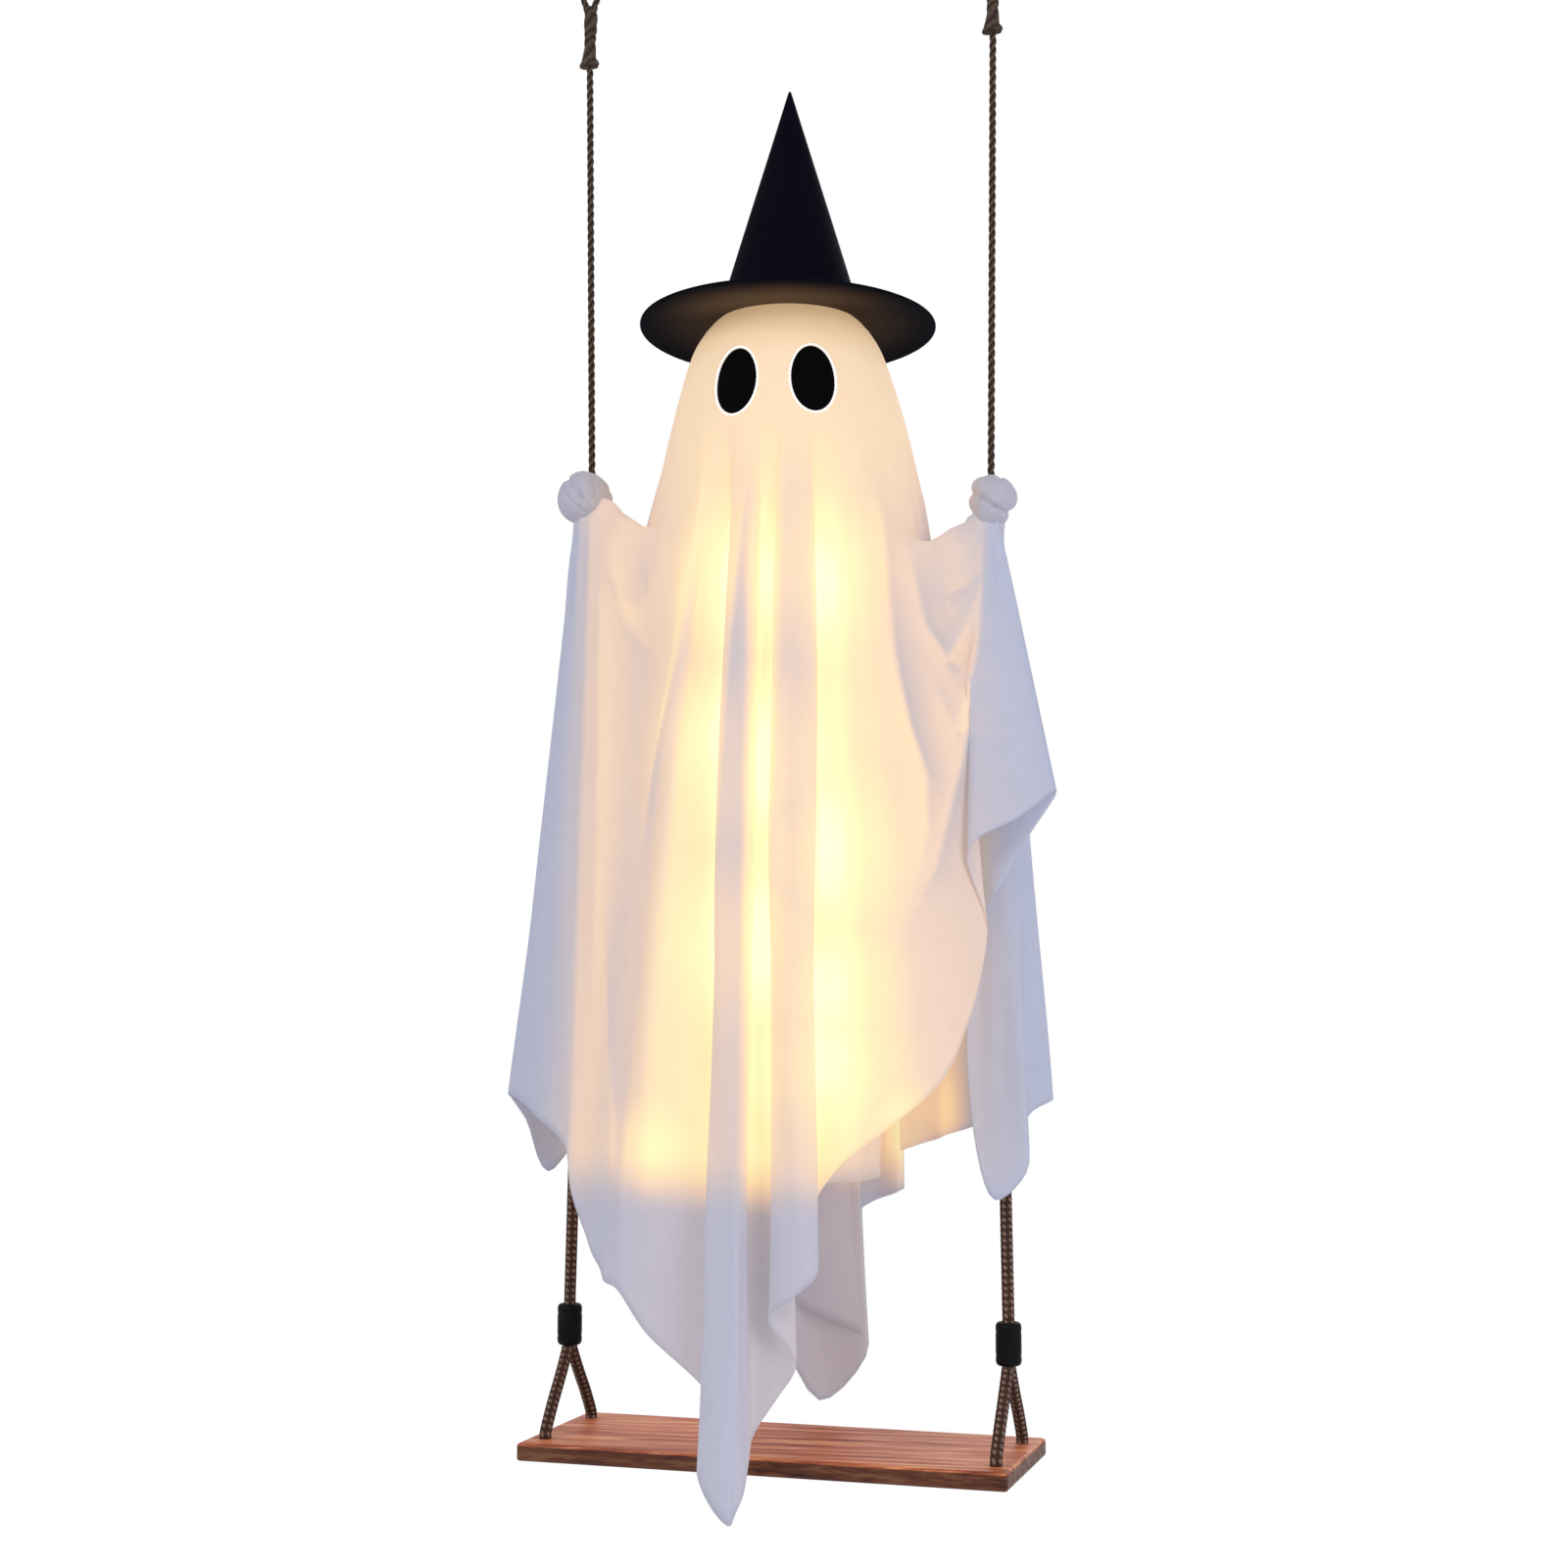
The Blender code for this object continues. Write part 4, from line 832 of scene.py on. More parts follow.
down = -grid[..., 2]
away_from_middle = step_up(np.abs(grid[..., 0]), 0.085, 0.150)
share = np.maximum(step_up(down, 0.46, 0.66), step_up(down, 0.47, 0.56) * away_from_middle)
even = HEAD_LIGHT - 0.16 * step_up(np.abs(grid[..., 0] - 0.01), 0.085, 0.125)
light_grid = even + (np.array(light_grid)[:, None] - even) * share
print("light from", round(float(light_grid.min()), 2), "to", round(float(light_grid.max()), 2))

# %% [markdown]
# Slanting folds cross the fold lines: the swags that hang from each hand to the head, and the long
# bag of cloth under the right one. Each is pressed into the loft along a line on the front, as a
# rounded ridge or a groove, and the cloth on its right may let more or less light through.

# %% Pressed folds
# Each entry: x and z of points on the front in turn, half width and height, all in millimetres, the
# change of the light right of the line and left of it in per cent, and how far it reaches.
PRESSED_FOLDS = (
    ((-56, -570, -62, -627, -68, -676, -78, -719, -91, -764, -103, -813), 8, 6, -22, 20, 20),
    ((168, -560, 169, -610, 168, -654, 161, -708, 152, -759, 144, -803, 135, -848, 125, -875), 6, 6,
      -14, 14, 16),
    ((96, -653, 104, -699, 116, -744, 127, -781, 129, -819, 122, -863), 8, 4, -12, 14, 22),
    ((112, -587, 123, -652, 138, -677, 151, -653, 166, -613), 8, 9, -14, 10, 15),
    ((133, -700, 146, -735, 156, -700, 163, -660), 6, 5, -4, 12, 15),
    ((133, -574, 139, -623, 150, -617, 164, -604), 5, 5, 6, -8, 10),
    ((-151, -568, -128, -637, -103, -665), 6, 5, 10, -6, 15),
    ((-104, -581, -120, -625), 5, -4, 0, -10, 12),
    ((-143, -610, -127, -624, -115, -626, -104, -590), 7, -4, 0, 10, 15),
    ((-160, -575, -155, -660, -152, -800, -150, -950), 8, 3, 8, -6, 15),
    ((-145, -856, -137, -926, -123, -1055, -119, -1116), 6, 3, -8, 8, 14),
    ((-12, -520, -17, -575, -27, -724, -35, -907), 6, 4, -12, 14, 13),
    ((-1, -530, -3, -576, -8, -724, -12, -907), 5, 2, 12, -4, 10),
    ((18, -510, 17, -577, 16, -725, 11, -907), 5, 4, -14, 14, 12),
    ((38, -530, 40, -578, 46, -760, 50, -907), 7, 3, 14, -10, 14),
    ((88, -540, 94, -580, 103, -675, 114, -738, 133, -785), 7, 4, -14, 10, 18),
    ((-40, -480, -48, -510, -56, -560), 5, 2, -5, 8, 12),
)


def near_line(x, z, line):
    """Distance from each place to a line on the front, its sign (right is +), and how far along."""
    best = np.full(x.shape, 1e9)
    sign, along = np.zeros(x.shape), np.zeros(x.shape)
    total = len(line) - 1
    for k, ((ax, az), (bx, bz)) in enumerate(zip(line, line[1:])):
        dx, dz = bx - ax, bz - az
        t = np.clip(((x - ax) * dx + (z - az) * dz) / (dx * dx + dz * dz), 0, 1)
        px, pz = x - (ax + dx * t), z - (az + dz * t)
        d = np.hypot(px, pz)
        closer = d < best
        best = np.where(closer, d, best)
        sign = np.where(closer, np.sign(dx * pz - dz * px), sign)
        along = np.where(closer, (k + t) / total, along)
    return best, sign, along


def grid_normals(grid):
    across = np.roll(grid, -1, axis=0) - np.roll(grid, 1, axis=0)
    down = np.gradient(grid, axis=1)
    normal = np.cross(down, across)
    length = np.linalg.norm(normal, axis=2, keepdims=True)
    return normal / np.maximum(length, 1e-9)


print("pressed folds listed:", len(PRESSED_FOLDS))

# %% Press the folds in
normals = grid_normals(grid)
if np.mean(normals[:, 60, :2] * grid[:, 60, :2]) < 0:
    normals = -normals
front = np.clip(-normals[..., 1] * 2.0, 0.0, 1.0) * (grid[..., 1] < -0.01)
moved = np.zeros(grid.shape[:2])
for points, width, height, right_light, left_light, reach in PRESSED_FOLDS:
    line = [(x / 1000, z / 1000) for x, z in zip(points[::2], points[1::2])]
    distance, sign, along = near_line(grid[..., 0], grid[..., 2], line)
    taper = np.sin(np.pi * np.clip(along, 0.02, 0.98)) ** 0.5
    moved += height / 1000 * np.exp(-(distance / (width / 1000)) ** 2) * taper * front
    right_share = step_up(sign * distance, -0.003, 0.003)
    fading = np.exp(-distance / (reach / 1000)) * taper * front
    light_grid = light_grid + (right_light * right_share + left_light * (1 - right_share)) / 100 * fading


def pushed(grid, by):
    """The grid with each point moved out along its normal."""
    return grid + normals * by[..., None]


grid = pushed(grid, moved)
print("largest push", round(float(np.abs(moved).max()) * 1000, 1), "mm")

# %% [markdown]
# Small gathers run out from each fist, and a slow waviness, which grows towards the hem, keeps the
# cloth from looking ruled. The back falls in soft pleats from under the head, each one a ridge that
# lets less light through.

# %% Gathers, waves and back pleats
for side in (-1, 1):
    from_fist = np.linalg.norm(grid - np.array((side * HAND_X, 0.0, HAND_Z[side] - RING_DROP)), axis=2)
    gathers = np.sin(line_place * math.tau * 0.9 + side) * np.exp(-((from_fist - 0.045) / 0.035) ** 2)
    grid = pushed(grid, gathers * 0.0016)
row_share = np.clip((-grid[..., 2] - 0.55) / 0.5, 0.0, 1.0)
wave = (np.sin(line_place * 2.1 + grid[..., 2] * 9.0) + 0.6 * np.sin(line_place * 3.7 - grid[..., 2] * 14.0)
        + 0.4 * np.sin(line_place * 5.9 + grid[..., 2] * 23.0))
grid = pushed(grid, wave * 0.0012 * row_share)
on_back = step_up(grid[..., 1], 0.03, 0.07) * step_up(-grid[..., 2], 0.48, 0.75)
pleats = np.sin(line_place * math.tau * 0.62 + 0.5 * np.sin(grid[..., 2] * 8.0))
grid = pushed(grid, pleats * 0.0034 * on_back)
light_grid = light_grid - 0.09 * pleats * on_back
# Nothing that was pushed may cut into the dome, and the hem is sewn double, so less of the painted
# lamp light comes through it.
centre = np.array([0.0, 0.0, HEAD_Z])
away = grid - centre
grid = centre + away * np.maximum(1.0, CLOTH_OUTER / np.linalg.norm(away, axis=2, keepdims=True))
light_grid[:, -1] -= 0.07
light_grid = np.clip(light_grid, 0.0, 1.0)
print("gathers, waves and pleats pressed in")

# %% Drape mesh
def cloth_from_grid(name, grid, light, finish, replaces):
    """A sheet from a grid of columns whose first row is one point, with the light kept on its points."""
    count, rows = grid.shape[:2]
    points = [grid[0, 0]] + [p for column in grid for p in column[1:]]
    lights = [light[0, 0]] + [v for column in light for v in column[1:]]

    def index(column, row):
        return 0 if row == 0 else 1 + (column % count) * (rows - 1) + row - 1

    faces = []
    for column in range(count):
        for row in range(rows - 1):
            corners = [index(column + right, row + low) for right, low in ((0, 0), (0, 1), (1, 1), (1, 0))]
            faces.append(corners if row else corners[:3])
    piece = make_piece(name, points, faces, finish, replaces)
    keep_on_points(piece, "light_through", lights)
    thicken(piece)
    return piece


drape = cloth_from_grid("drape_cloth", grid, light_grid, drape_finish, ("drape",))
print("drape faces", len(drape.data.polygons))

# %% [markdown]
# ## The lining
# A straight tube of the same cotton hangs inside the drape and spreads the lamps' light. It only
# shows as a scrap under the raised right hem and from below, so it is a tube with soft pleats.

# %% Lining
LINING_AROUND, LINING_ROWS = 144, 40
LINING_HEM_X, LINING_HEM_WIDTH, LINING_HEM_DEPTH = -0.028, 0.208, 0.172
LINING_TOP_RADIUS = 0.0803


def lining_girth(share):
    """Half width and half depth of the tube at a share of its length."""
    return [LINING_TOP_RADIUS + (size / 2 - LINING_TOP_RADIUS) * share
            for size in (LINING_HEM_WIDTH, LINING_HEM_DEPTH)]


points = []
for row in range(LINING_ROWS):
    share = row / (LINING_ROWS - 1)
    z = LINING_TOP_Z + (LINING_HEM_Z - LINING_TOP_Z) * share
    wide, deep = lining_girth(share)
    for k in range(LINING_AROUND):
        a = math.tau * k / LINING_AROUND
        pleat = 1.0 + (0.004 + 0.014 * share) * math.sin(9 * a + 0.8 * math.sin(2 * a)) - 0.012 * share
        points.append((LINING_HEM_X * share + wide * pleat * math.cos(a), deep * pleat * math.sin(a), z))
faces = band_faces(0, LINING_ROWS, LINING_AROUND)
lining = make_piece("lining_cloth", points, faces, lining_finish, ("lining",))
thicken(lining)
print("lining faces", len(lining.data.polygons))

# %% [markdown]
# ## The eyes
# Two ovals of black felt lie on the cloth, each with a thin white sewn rim, and their tops lean
# towards each other. Rays sent in at the head find where the cloth is, so the felt follows it.

# %% Places on the cloth
EYE_WIDTH, EYE_HEIGHT, EYE_SPACING, EYE_LEAN = 0.0366, 0.0560, 0.063, math.radians(1.6)
FACE_TURN = math.radians(4.4)
EYE_MIDDLE_Z = HEAD_Z - 0.006
cloth_tree = BVHTree.FromPolygons([v.co.copy() for v in drape.data.vertices],
                                  [tuple(p.vertices) for p in drape.data.polygons])


def on_cloth(turn, z, lift):
    """The point that lies lift outside the cloth, at a bearing from straight ahead and a height."""
    ahead = Vector((math.sin(turn), -math.cos(turn), 0.0))
    hit = cloth_tree.ray_cast(Vector((0.0, 0.0, z)) + ahead * 0.3, -ahead)[0]
    return Vector((0.0, 0.0, z)) + ahead * ((Vector((hit.x, hit.y, 0.0))).length + lift)


def on_eye(side, share, angle, lift):
    """A point of an eye: its share of the way out from the middle, its angle and its lift."""
    across, up = EYE_WIDTH / 2 * share * math.cos(angle), EYE_HEIGHT / 2 * share * math.sin(angle)
    lean = -side * EYE_LEAN
    bearing = FACE_TURN + side * math.asin(EYE_SPACING / 2 / CLOTH_OUTER)
    return on_cloth(bearing + (across * math.cos(lean) + up * math.sin(lean)) / CLOTH_OUTER,
                    EYE_MIDDLE_Z + (-across * math.sin(lean) + up * math.cos(lean)), lift)


print("eyes at height", round(EYE_MIDDLE_Z, 3))

# %% Eyes
EYE_RINGS, EYE_SPOKES = 8, 64
RIM_SHARE, RIM_STITCHES, RIM_AROUND = 1.045, 96, 8
BACK_LIFT = 0.0002


def build_eye(side):
    spokes = [math.tau * k / EYE_SPOKES for k in range(EYE_SPOKES)]
    points = [on_eye(side, 0, 0, 0.0015)]
    for share in (ring / EYE_RINGS for ring in range(1, EYE_RINGS + 1)):
        points += [on_eye(side, share, a, 0.0003 + 0.0012 * (1 - share ** 6)) for a in spokes]
    points += [on_eye(side, 1.0, a, BACK_LIFT) for a in spokes] + [on_eye(side, 0, 0, BACK_LIFT)]
    name = SIDE_NAME[side]
    faces = ball_faces(EYE_RINGS + 1, EYE_SPOKES)
    make_piece(name + "_eye_felt", points, faces, eye_finish, (name + "_eye",))
    rim_points, middle = [], on_eye(side, 0, 0, 0.0)
    for k in range(RIM_STITCHES):
        p = on_eye(side, RIM_SHARE, math.tau * k / RIM_STITCHES, 0.0008)
        out, face_out = (p - middle).normalized(), Vector((p.x, p.y, 0.0)).normalized()
        thick = 0.0011 * (1 + 0.10 * math.cos(k * math.pi))
        for a in (math.tau * j / RIM_AROUND for j in range(RIM_AROUND)):
            rim_points.append(p + (out * math.cos(a) + face_out * math.sin(a)) * thick)
    faces = ring_faces(RIM_STITCHES, RIM_AROUND, loop=True)
    make_piece(name + "_eye_rim", rim_points, faces, thread_finish)


for side in (-1, 1):
    build_eye(side)
print("eyes ready")

# %% [markdown]
# ## The fists
# Cloth is wound over a stuffed knob on each rope. A round knob is pushed out along slanting bands,
# each band a turn of the cloth, and pulled in between them, where shadows gather.

# %% Bands of the fists
# Each band: the direction that it faces, how far out it lies, its width and its height.
FISTS = {
    -1: {"centre": (-0.1803, -0.001, -0.5200), "size": (0.0230, 0.0225, 0.0225), "bend": 0.10,
         "bands": (((0.75, 0.15, 0.62), -0.05, 0.10, -0.09), ((0.60, -0.55, 0.55), 0.15, 0.10, -0.09),
                   ((0.40, -0.75, 0.45), 0.45, 0.30, 0.06), ((0.85, -0.1, 0.35), 0.62, 0.30, 0.05),
                   ((-0.8, -0.3, 0.4), 0.50, 0.50, 0.05), ((0.3, 0.8, 0.2), 0.2, 0.15, -0.06))},
    1: {"centre": (0.1745, -0.001, -0.5375), "size": (0.0192, 0.0200, 0.0225), "bend": 0.26,
        "bands": (((0.20, -0.25, 0.94), -0.05, 0.12, -0.15), ((0.15, -0.3, 0.94), 0.42, 0.35, 0.06),
                  ((0.45, -0.3, -0.84), 0.50, 0.35, 0.08), ((-0.75, -0.25, 0.60), 0.40, 0.12, -0.06),
                  ((0.9, 0.1, -0.1), 0.70, 0.30, 0.05), ((-0.3, 0.8, 0.2), 0.2, 0.15, -0.06))},
}


print("bands on a fist:", len(FISTS[1]["bands"]))


# %% A point of a fist
def on_fist(side, theta, phi):
    """The point of a fist in one direction, and the share of lamp light there."""
    fist = FISTS[side]
    wrist = np.array((-side * 0.55, -0.25, -0.80))
    wrist /= np.linalg.norm(wrist)
    across = np.cross(wrist, (0.0, 1.0, 0.0))
    n = np.array([math.sin(theta) * math.cos(phi), math.sin(theta) * math.sin(phi), math.cos(theta)])
    swell = 0.98
    for plane, offset, width, height in fist["bands"]:
        axis = np.array(plane) / np.linalg.norm(plane)
        bent = float(n @ axis) - offset + fist["bend"] * math.sin(2.8 * n[0] + 1.4 * n[2])
        swell += height * math.exp(-(bent / width) ** 2)
    to_wrist = float(n @ wrist)
    turn = math.atan2(float(n @ across), float(n @ np.cross(wrist, across)))
    pleat = math.sin(3.0 * turn + 1.1 * math.sin(2 * turn + side) + 1.6 * to_wrist)
    crease = math.exp(-(pleat / 0.28) ** 2) * math.exp(-((to_wrist - 0.45) / 0.42) ** 2)
    swell += (0.030 * pleat - 0.085 * crease) * (1 - to_wrist ** 4)
    spot = np.array(fist["centre"]) + n * np.array(fist["size"]) * swell
    return spot, 0.06 + 0.16 * max(0.0, -side * n[0]) ** 1.5


print("top of the left fist", [round(float(v), 4) for v in on_fist(-1, 0.0, 0.0)[0]])

# %% Fists
FIST_ROWS, FIST_AROUND = 60, 96
directions = [(0.0, 0.0)]
directions += [(math.pi * row / FIST_ROWS, math.tau * k / FIST_AROUND)
               for row in range(1, FIST_ROWS) for k in range(FIST_AROUND)]
directions.append((math.pi, 0.0))
for side, name in SIDE_NAME.items():
    points, lights = zip(*(on_fist(side, *direction) for direction in directions))
    faces = ball_faces(FIST_ROWS - 1, FIST_AROUND)
    piece = make_piece(name + "_fist", points, faces, fist_finish, (name + "_hand",))
    keep_on_points(piece, "light_through", lights)
print("fists ready")

# %% [markdown]
# ## The hat
# A cone of stiff felt is sewn onto a flat felt ring. Both are outlines spun about Z, with enough
# steps that the brim's edge is round, and a seam of thread lies around the cone near its foot.

# %% Hat
CROWN_BASE, CROWN_TIP = BRIM_Z + FELT / 2 + 0.0003, BRIM_Z + HAT_HEIGHT
CROWN_OUTER, TIP_RADIUS = HAT_SEAT_RADIUS + FELT, 0.0008
CROWN_X = 0.0018
TIP_FELT = 0.012


def crown_radius(z):
    return TIP_RADIUS + (CROWN_OUTER - TIP_RADIUS) * (CROWN_TIP - z) / (CROWN_TIP - CROWN_BASE)


def soft_cone(radius, height, angle):
    dent = 1.0 + 0.006 * math.sin(2 * angle + 18 * height) * (height < CROWN_TIP - 0.02)
    return radius * dent, height


outline = [(0.0, CROWN_TIP)] + [(crown_radius(z), z) for z in np.linspace(CROWN_TIP - 0.002, CROWN_BASE, 36)]
outline += [(HAT_SEAT_RADIUS, CROWN_BASE), (0.002, CROWN_TIP - TIP_FELT), (0.0, CROWN_TIP - TIP_FELT)]
turned("hat_cone", outline, felt_finish, ("hat_crown",), 120, (CROWN_X, 0.0), soft_cone)
print("hat tip at", CROWN_TIP)

# %% Brim
BRIM_HOLE, BRIM_FLAT, BRIM_EDGE = 0.0585, 0.07, 0.0007


def soft_brim(radius, height, angle):
    """The ring droops all round, most at the back, so that its underside shows from the front."""
    share = max(0.0, (radius - 0.065) / 0.06)
    droop = 0.0050 + 0.0050 * math.sin(angle)
    return radius, height + (0.0008 * math.sin(2 * angle + 0.6) - droop * share ** 0.5) * share


low, high, edge = BRIM_Z - FELT / 2, BRIM_Z + FELT / 2, BRIM_EDGE
outline = [(BRIM_HOLE, high)] + [(r, high) for r in np.linspace(BRIM_FLAT, BRIM_RADIUS - edge, 10)]
outline += [(BRIM_RADIUS - edge * 0.3, high - edge * 0.3), (BRIM_RADIUS, high - edge),
            (BRIM_RADIUS, low + edge), (BRIM_RADIUS - edge * 0.3, low + edge * 0.3)]
outline += [(r, low) for r in np.linspace(BRIM_RADIUS - edge, BRIM_FLAT, 10)] + [(BRIM_HOLE, low)]
turned("hat_ring", outline, brim_finish, ("hat_brim",), 160, shape=soft_brim)
print("brim across", 2 * BRIM_RADIUS)

# %% Seam
SEAM_Z, SEAM_STITCHES, SEAM_AROUND = -0.352, 240, 6
seam_points = []
for k in range(SEAM_STITCHES):
    a = math.tau * k / SEAM_STITCHES
    out = Vector((math.cos(a), math.sin(a), 0.0))
    thick = 0.00045 if k % 4 < 3 else 0.00012
    middle = out * (crown_radius(SEAM_Z) + 0.0001) + Vector((CROWN_X, 0, SEAM_Z))
    for b in (math.tau * j / SEAM_AROUND for j in range(SEAM_AROUND)):
        seam_points.append(middle + out * thick * math.cos(b) + Vector((0, 0, thick * math.sin(b))))
faces = ring_faces(SEAM_STITCHES, SEAM_AROUND, loop=True)
make_piece("hat_seam", seam_points, faces, eye_finish)
print("seam stitches:", SEAM_STITCHES)

# %% [markdown]
# ## The ropes
# The upper ropes are jute of three twisted strands, and the lower ones are a braid. Each is one skin
# along the rope's line: its radius at each angle and length draws the strands, and turning that
# outline with the length makes the twist.

# %% Rope outlines
def twisted(diameter, pitch):
    """Three round strands, which turn once in each pitch."""
    strand, offset = 0.25 * diameter, 0.256 * diameter

    def outline(angle, run):
        turn = angle - run * math.tau / pitch
        near = (turn + math.pi / 3) % (math.tau / 3) - math.pi / 3
        inside = np.maximum(strand ** 2 - (offset * np.sin(near)) ** 2, 0.0)
        fuzz = 0.00010 * np.sin(run * 5200 + angle * 5) * np.sin(run * 1730 - angle * 3)
        return offset * np.cos(near) + np.sqrt(inside) + fuzz
    return outline


def crossing(angle, run, around, cell):
    """Where a point lies on the strands that wind each way, and which of them lies on top there."""
    a, b = angle * around / math.tau + run / cell, angle * around / math.tau - run / cell
    return np.sin(np.pi * (a % 1.0)), np.sin(np.pi * (b % 1.0)), (np.floor(a) + np.floor(b)) % 2 < 1


def braided(angle, run):
    """Six strands each way, over and under."""
    a, b, a_on_top = crossing(angle, run, 6, 0.0042)
    over = np.where(a_on_top, a ** 0.6 * (0.72 + 0.28 * b), b ** 0.6 * (0.72 + 0.28 * a))
    return LOWER_ROPE / 2 * (0.86 + 0.16 * over)


def light_threads(angle, run):
    """The pale threads of the braid, which show on the strands that wind one way."""
    a, b, on_top = crossing(angle, run, 5, 0.0054)
    return on_top * a ** 3 * b ** 0.4 * 0.85


print("braid radius at its first crossing", round(float(braided(0.3, 0.002)), 4))

# %% Loops and knots
KNOT_LENGTH = -LOOP_HEIGHT - KNOT_BOTTOM_Z
TWIST = 0.024
jute_strands = twisted(UPPER_ROPE, TWIST)


def loop_route(x):
    """Up one side from the knot, over the hook, and down the other side into the knot again."""
    half, middle = LOOP_WIDTH / 2, UPPER_ROPE / 2 - LOOP_WIDTH / 2
    foot = -LOOP_HEIGHT - 0.004
    rise = [(half * (1 - share) ** 0.8 + 0.0026 * share, middle + (foot - middle) * share)
            for share in (1.0, 0.85, 0.6, 0.3)]
    arc = [(-half * math.cos(a), middle + half * math.sin(a)) for a in np.linspace(0.0, math.pi, 10)]
    route = [(-across, z) for across, z in rise] + arc + rise[::-1] + [(0.0026, foot - 0.006)]
    return [(x + across, 0.0, z) for across, z in route]


def winding_ridge(angle, run):
    """1 on the crown of a slanting turn, 0 between two turns."""
    return np.abs(np.cos(np.pi * (run / 0.0095 - 3 * angle / math.tau + 0.2 * np.sin(run * 230))))


def winding(angle, run):
    """Slanting turns of rope round the knot, uneven, with two frayed ends that stand out at its foot."""
    belly = 0.86 + 0.07 * np.sin(run * 170 + 0.9) + 0.07 * np.cos(angle - run * 75)
    ends = 0.52 * np.exp(-((run - 0.001) / 0.0055) ** 2) * np.abs(np.cos(angle + 0.3)) ** 1.5
    return KNOT_RADIUS * (belly + ends) * (0.82 + 0.20 * winding_ridge(angle, run) ** 0.7)


def winding_crowns(angle, run):
    return winding_ridge(angle, run) ** 1.2


def jute_crowns(angle, run):
    """How high on a strand a point is, from the rope's own outline: 0 in the gap, 1 on the crown."""
    return np.clip((jute_strands(angle, run) / (UPPER_ROPE / 2) - 0.74) / (0.98 - 0.74), 0.0, 1.0)


print("knots are", round(KNOT_LENGTH, 3), "m long")

# %% Upper ropes
for side, name in SIDE_NAME.items():
    x = side * HOOK_X
    in_fist = Vector((side * HAND_X, 0.0, HAND_Z[side] + 0.0006))
    knot_foot = Vector((x, 0.0, KNOT_BOTTOM_Z))
    route = [in_fist.lerp(knot_foot, k / 20) for k in range(21)]
    route += [Vector((x, 0.0, KNOT_BOTTOM_Z + KNOT_LENGTH * 0.6)), *loop_route(x)]
    rope, path = rope_mesh(name + "_jute_rope", route, jute_strands, 0.0013, 24, jute_finish,
                           (name + "_upper_rope",), jute_crowns)
    wind_route = [(x, 0.0, KNOT_BOTTOM_Z + 0.0002 + KNOT_LENGTH * k / 8) for k in range(9)]
    wound, _ = rope_mesh(name + "_knot_winding", wind_route, winding, 0.0007, 48, jute_finish,
                         (name + "_knot",), winding_crowns)

# %% [markdown]
# ## The swing
# Each lower rope hangs from a fist into a black sleeve. Below it a second rope runs through the front
# hole of the board, under the board and up through the back hole, into the same sleeve.

# %% Routes of the legs
LEG_GAP = LOWER_ROPE / 2 + 0.0003


def hole_place(side, along=0.0):
    """Where a point of the board's cross line lies, once the board is turned a little on its ropes."""
    x, y = side * HOLE_X, along
    return (SWING_X + x * math.cos(SEAT_TWIST) - y * math.sin(SEAT_TWIST),
            x * math.sin(SEAT_TWIST) + y * math.cos(SEAT_TWIST))


def yoke_route():
    """(along, z) down from the sleeve, through a hole, under the board and up again."""
    start, half, bend = FERRULE_TOP_Z - FERRULE_HEIGHT - 0.0003, HOLE_PITCH / 2, 0.009
    under = SEAT_TOP_Z - SEAT_THICKNESS + LOWER_ROPE / 2 - 0.004
    front = [(-LEG_GAP, start), (-LEG_GAP, start - 0.004)]
    drop = SEAT_TOP_Z + 0.014 - start
    front += [(-LEG_GAP - (half - LEG_GAP) * share, start - 0.006 + drop * share) for share in (0.33, 0.66)]
    front += [(-half + 0.0015, SEAT_TOP_Z + 0.007), (-half, SEAT_TOP_Z + 0.001)]
    for a in (math.radians(22.5) * k for k in range(5)):
        front.append((-half + bend * (1 - math.cos(a)), under + bend * (1 - math.sin(a))))
    front += [(-half * 0.45, under), (0.0, under)]
    return front + [(-y, z) for y, z in front[-2::-1]]


print("points along the legs:", len(yoke_route()))

# %% Lower ropes and legs
for side, name in SIDE_NAME.items():
    x, y = hole_place(side)
    top = (side * HAND_X, 0.0, HAND_Z[side] - 0.0003)
    straight = Vector((side * HAND_X, 0.0, HAND_Z[side] - 0.044))
    above = Vector((x, y, FERRULE_TOP_Z + 0.004))
    route = [top, *(tuple(straight.lerp(above, k / 22)) for k in range(23)), (x, y, FERRULE_TOP_Z - 0.0117)]
    rope, path = rope_mesh(name + "_braid_rope", route, braided, 0.0011, 36, braid_finish,
                           (name + "_lower_rope",), light_threads)
    legs = [(*hole_place(side, along), z) for along, z in yoke_route()]
    rope_mesh(name + "_braid_legs", legs, braided, 0.0011, 36, braid_finish, (name + "_yoke",),
              light_threads)

# %% Ferrules
FERRULE_RADIUS, FERRULE_BORE, FERRULE_FLOOR = 0.0104, LOWER_ROPE / 2 + 0.0004, 0.012
GROOVES, GROOVE_DEPTH = (2, 10), 0.0003
r, top_z, low_z = FERRULE_RADIUS, FERRULE_TOP_Z, FERRULE_TOP_Z - FERRULE_HEIGHT
outline = [(FERRULE_BORE, top_z - 0.001), (FERRULE_BORE + 0.0006, top_z), (r * 0.80, top_z),
           (r * 0.93, top_z - 0.0010), (r, top_z - 0.0032)]
outline += [(r - (GROOVE_DEPTH if k in GROOVES else 0.0), top_z - 0.0032 - (FERRULE_HEIGHT - 0.0064) * k / 12)
            for k in range(1, 12)]
outline += [(r, low_z + 0.0032), (r * 0.93, low_z + 0.0010), (r * 0.80, low_z), (0.0, low_z),
            (0.0, top_z - FERRULE_FLOOR), (FERRULE_BORE, top_z - FERRULE_FLOOR)]
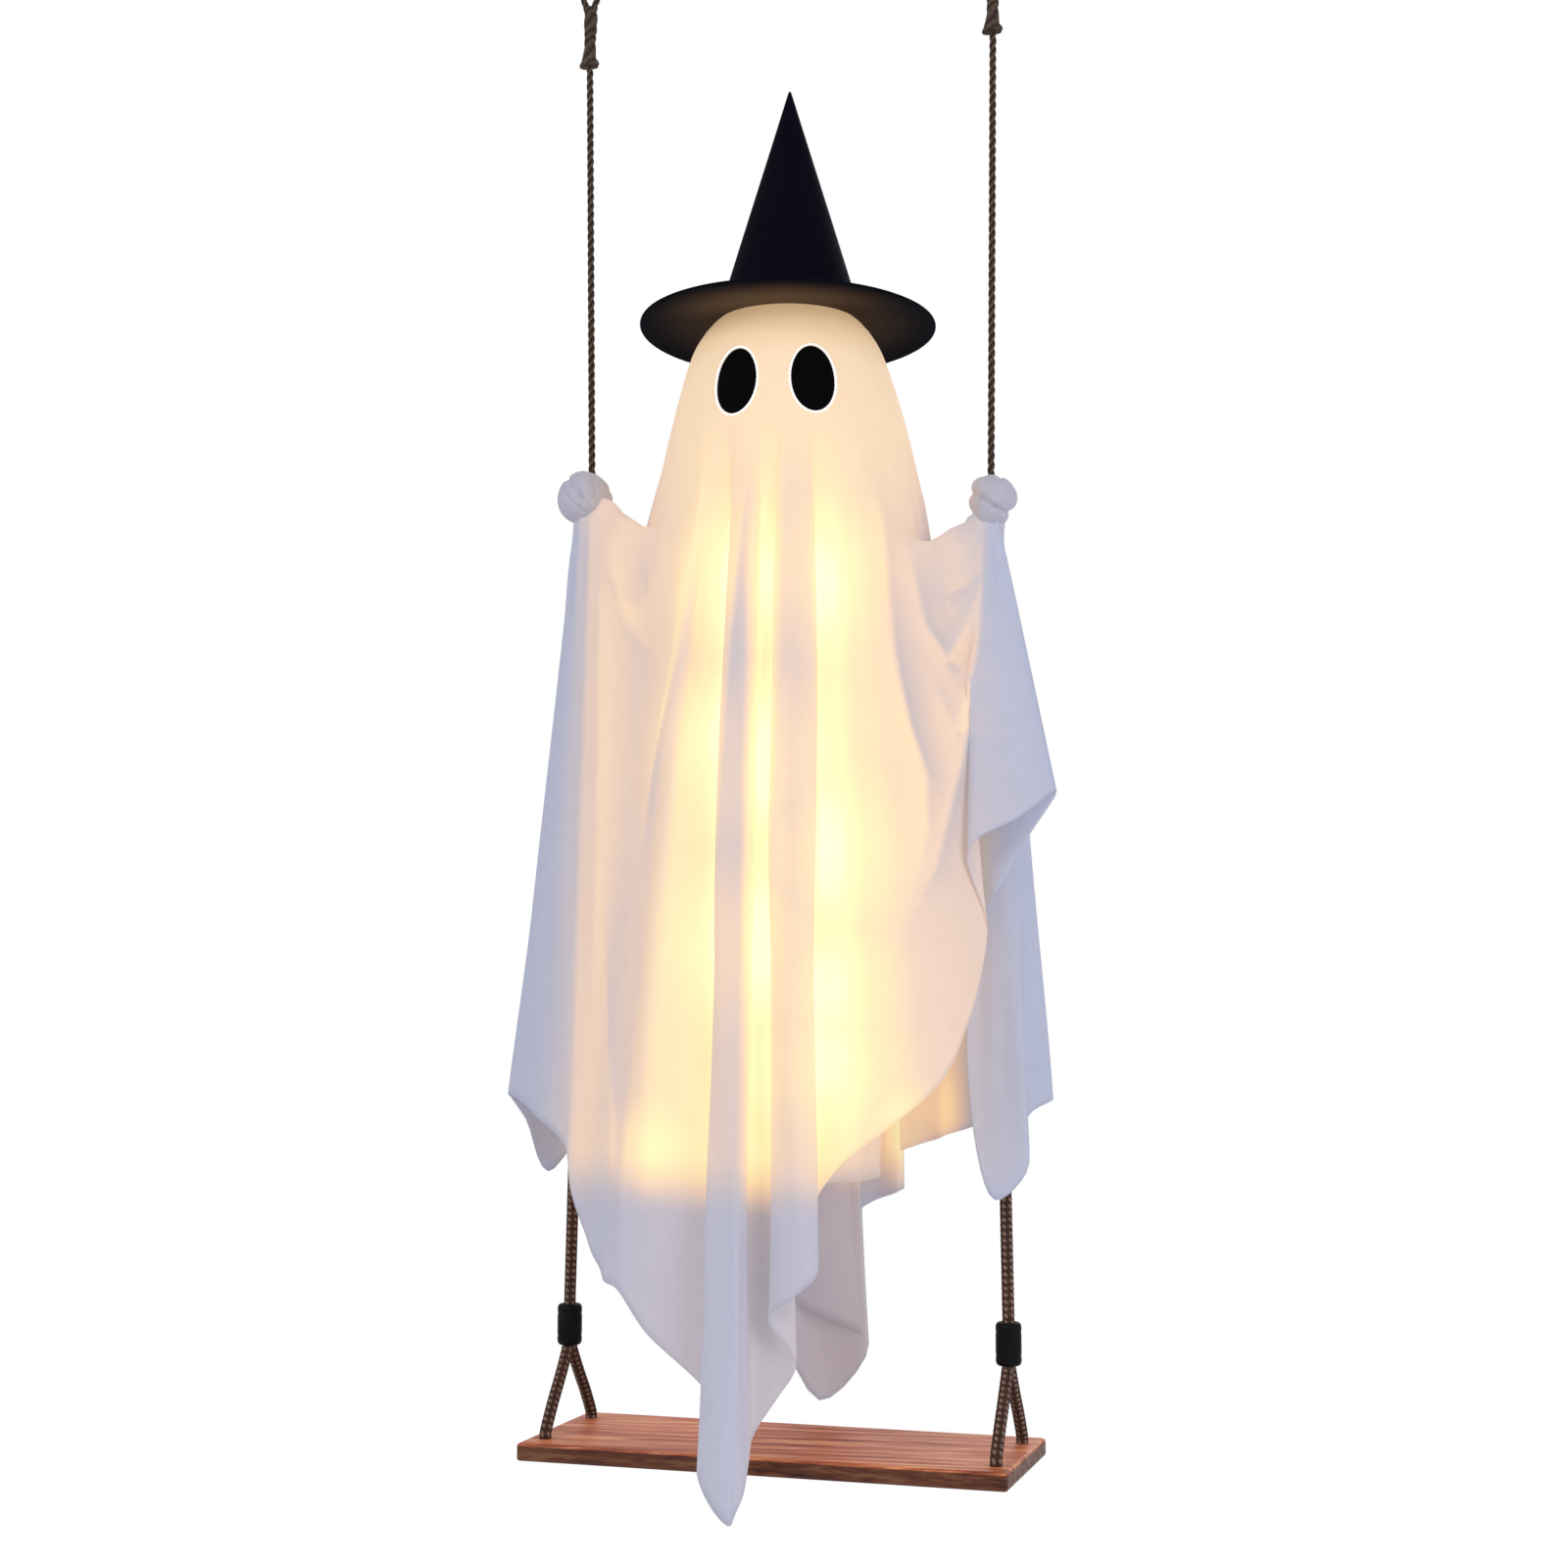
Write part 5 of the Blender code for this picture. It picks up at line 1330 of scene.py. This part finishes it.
for side, name in SIDE_NAME.items():
    turned(name + "_ferrule_sleeve", outline, black_finish, (name + "_ferrule",), 64,
           hole_place(side))
print("ferrules ready")

# %% [markdown]
# ## What stays as the solids are
# The seat, the dome under the cloth, its plate and post, the arm wire and the battery box already
# have their true shapes, so they keep them and only get their finishes.

# %% Finishes on the solids
for node, finish in (("seat", wood_finish), ("head_shell", shell_finish), ("neck_plate", shell_finish),
                     ("neck_post", shell_finish), ("arm_wire", steel_finish), ("battery_box", black_finish),
                     ("battery_lid", black_finish)):
    mesh = nodes[node].data
    mesh.materials.clear()
    mesh.materials.append(finish)
print("dressed solids ready")

# %% [markdown]
# ## The light string
# A thin lacquered wire runs round and down the inside of the lining with small warm lamps on it. It
# is a rope with a plain round outline, and each lamp is a short one whose radius swells and closes.

# %% Light string
LIGHT_TOP_Z, LIGHT_BOTTOM_Z, BEADS, LIGHT_TURNS = -0.640, -1.075, 8, 2.5
WIRE_RADIUS, FROM_LINING = 0.0007, 0.0054
BEAD_RADIUS, BEAD_HALF = 0.0034, 0.0055
wire_route = [(0.0, 0.021, -0.538), (0.0, 0.023, -0.558)]
bead_places = []
for k in range(BEADS * 4 + 1):
    share = k / (BEADS * 4)
    z = LIGHT_TOP_Z + (LIGHT_BOTTOM_Z - LIGHT_TOP_Z) * share
    turn = math.tau * LIGHT_TURNS * share + math.pi / 2
    down = (z - LINING_TOP_Z) / (LINING_HEM_Z - LINING_TOP_Z)
    wide, deep = (half - FROM_LINING for half in lining_girth(down))
    place = (LINING_HEM_X * down + wide * math.cos(turn), deep * math.sin(turn), z)
    wire_route.append(place)
    if k % 4 == 2:
        bead_places.append((Vector(place), Vector((-math.sin(turn), math.cos(turn), 0.0))))
rope_mesh("lamp_wire", wire_route, lambda angle, run: WIRE_RADIUS, 0.004, 8, copper_finish,
          ("light_string",))
print("lamps on the string:", len(bead_places))


# %% Lamps on the string
def bead_shape(angle, run):
    return BEAD_RADIUS * np.sqrt(np.clip(1 - ((run - BEAD_HALF) / 0.0056) ** 2, 0.02, 1))


for number, (place, along) in enumerate(bead_places, 1):
    ends = [place + along * t for t in np.linspace(-BEAD_HALF, BEAD_HALF, 12)]
    rope_mesh("lamp_bead_%d" % number, ends, bead_shape, 0.0007, 16, lamp_finish)
print("beads:", number)
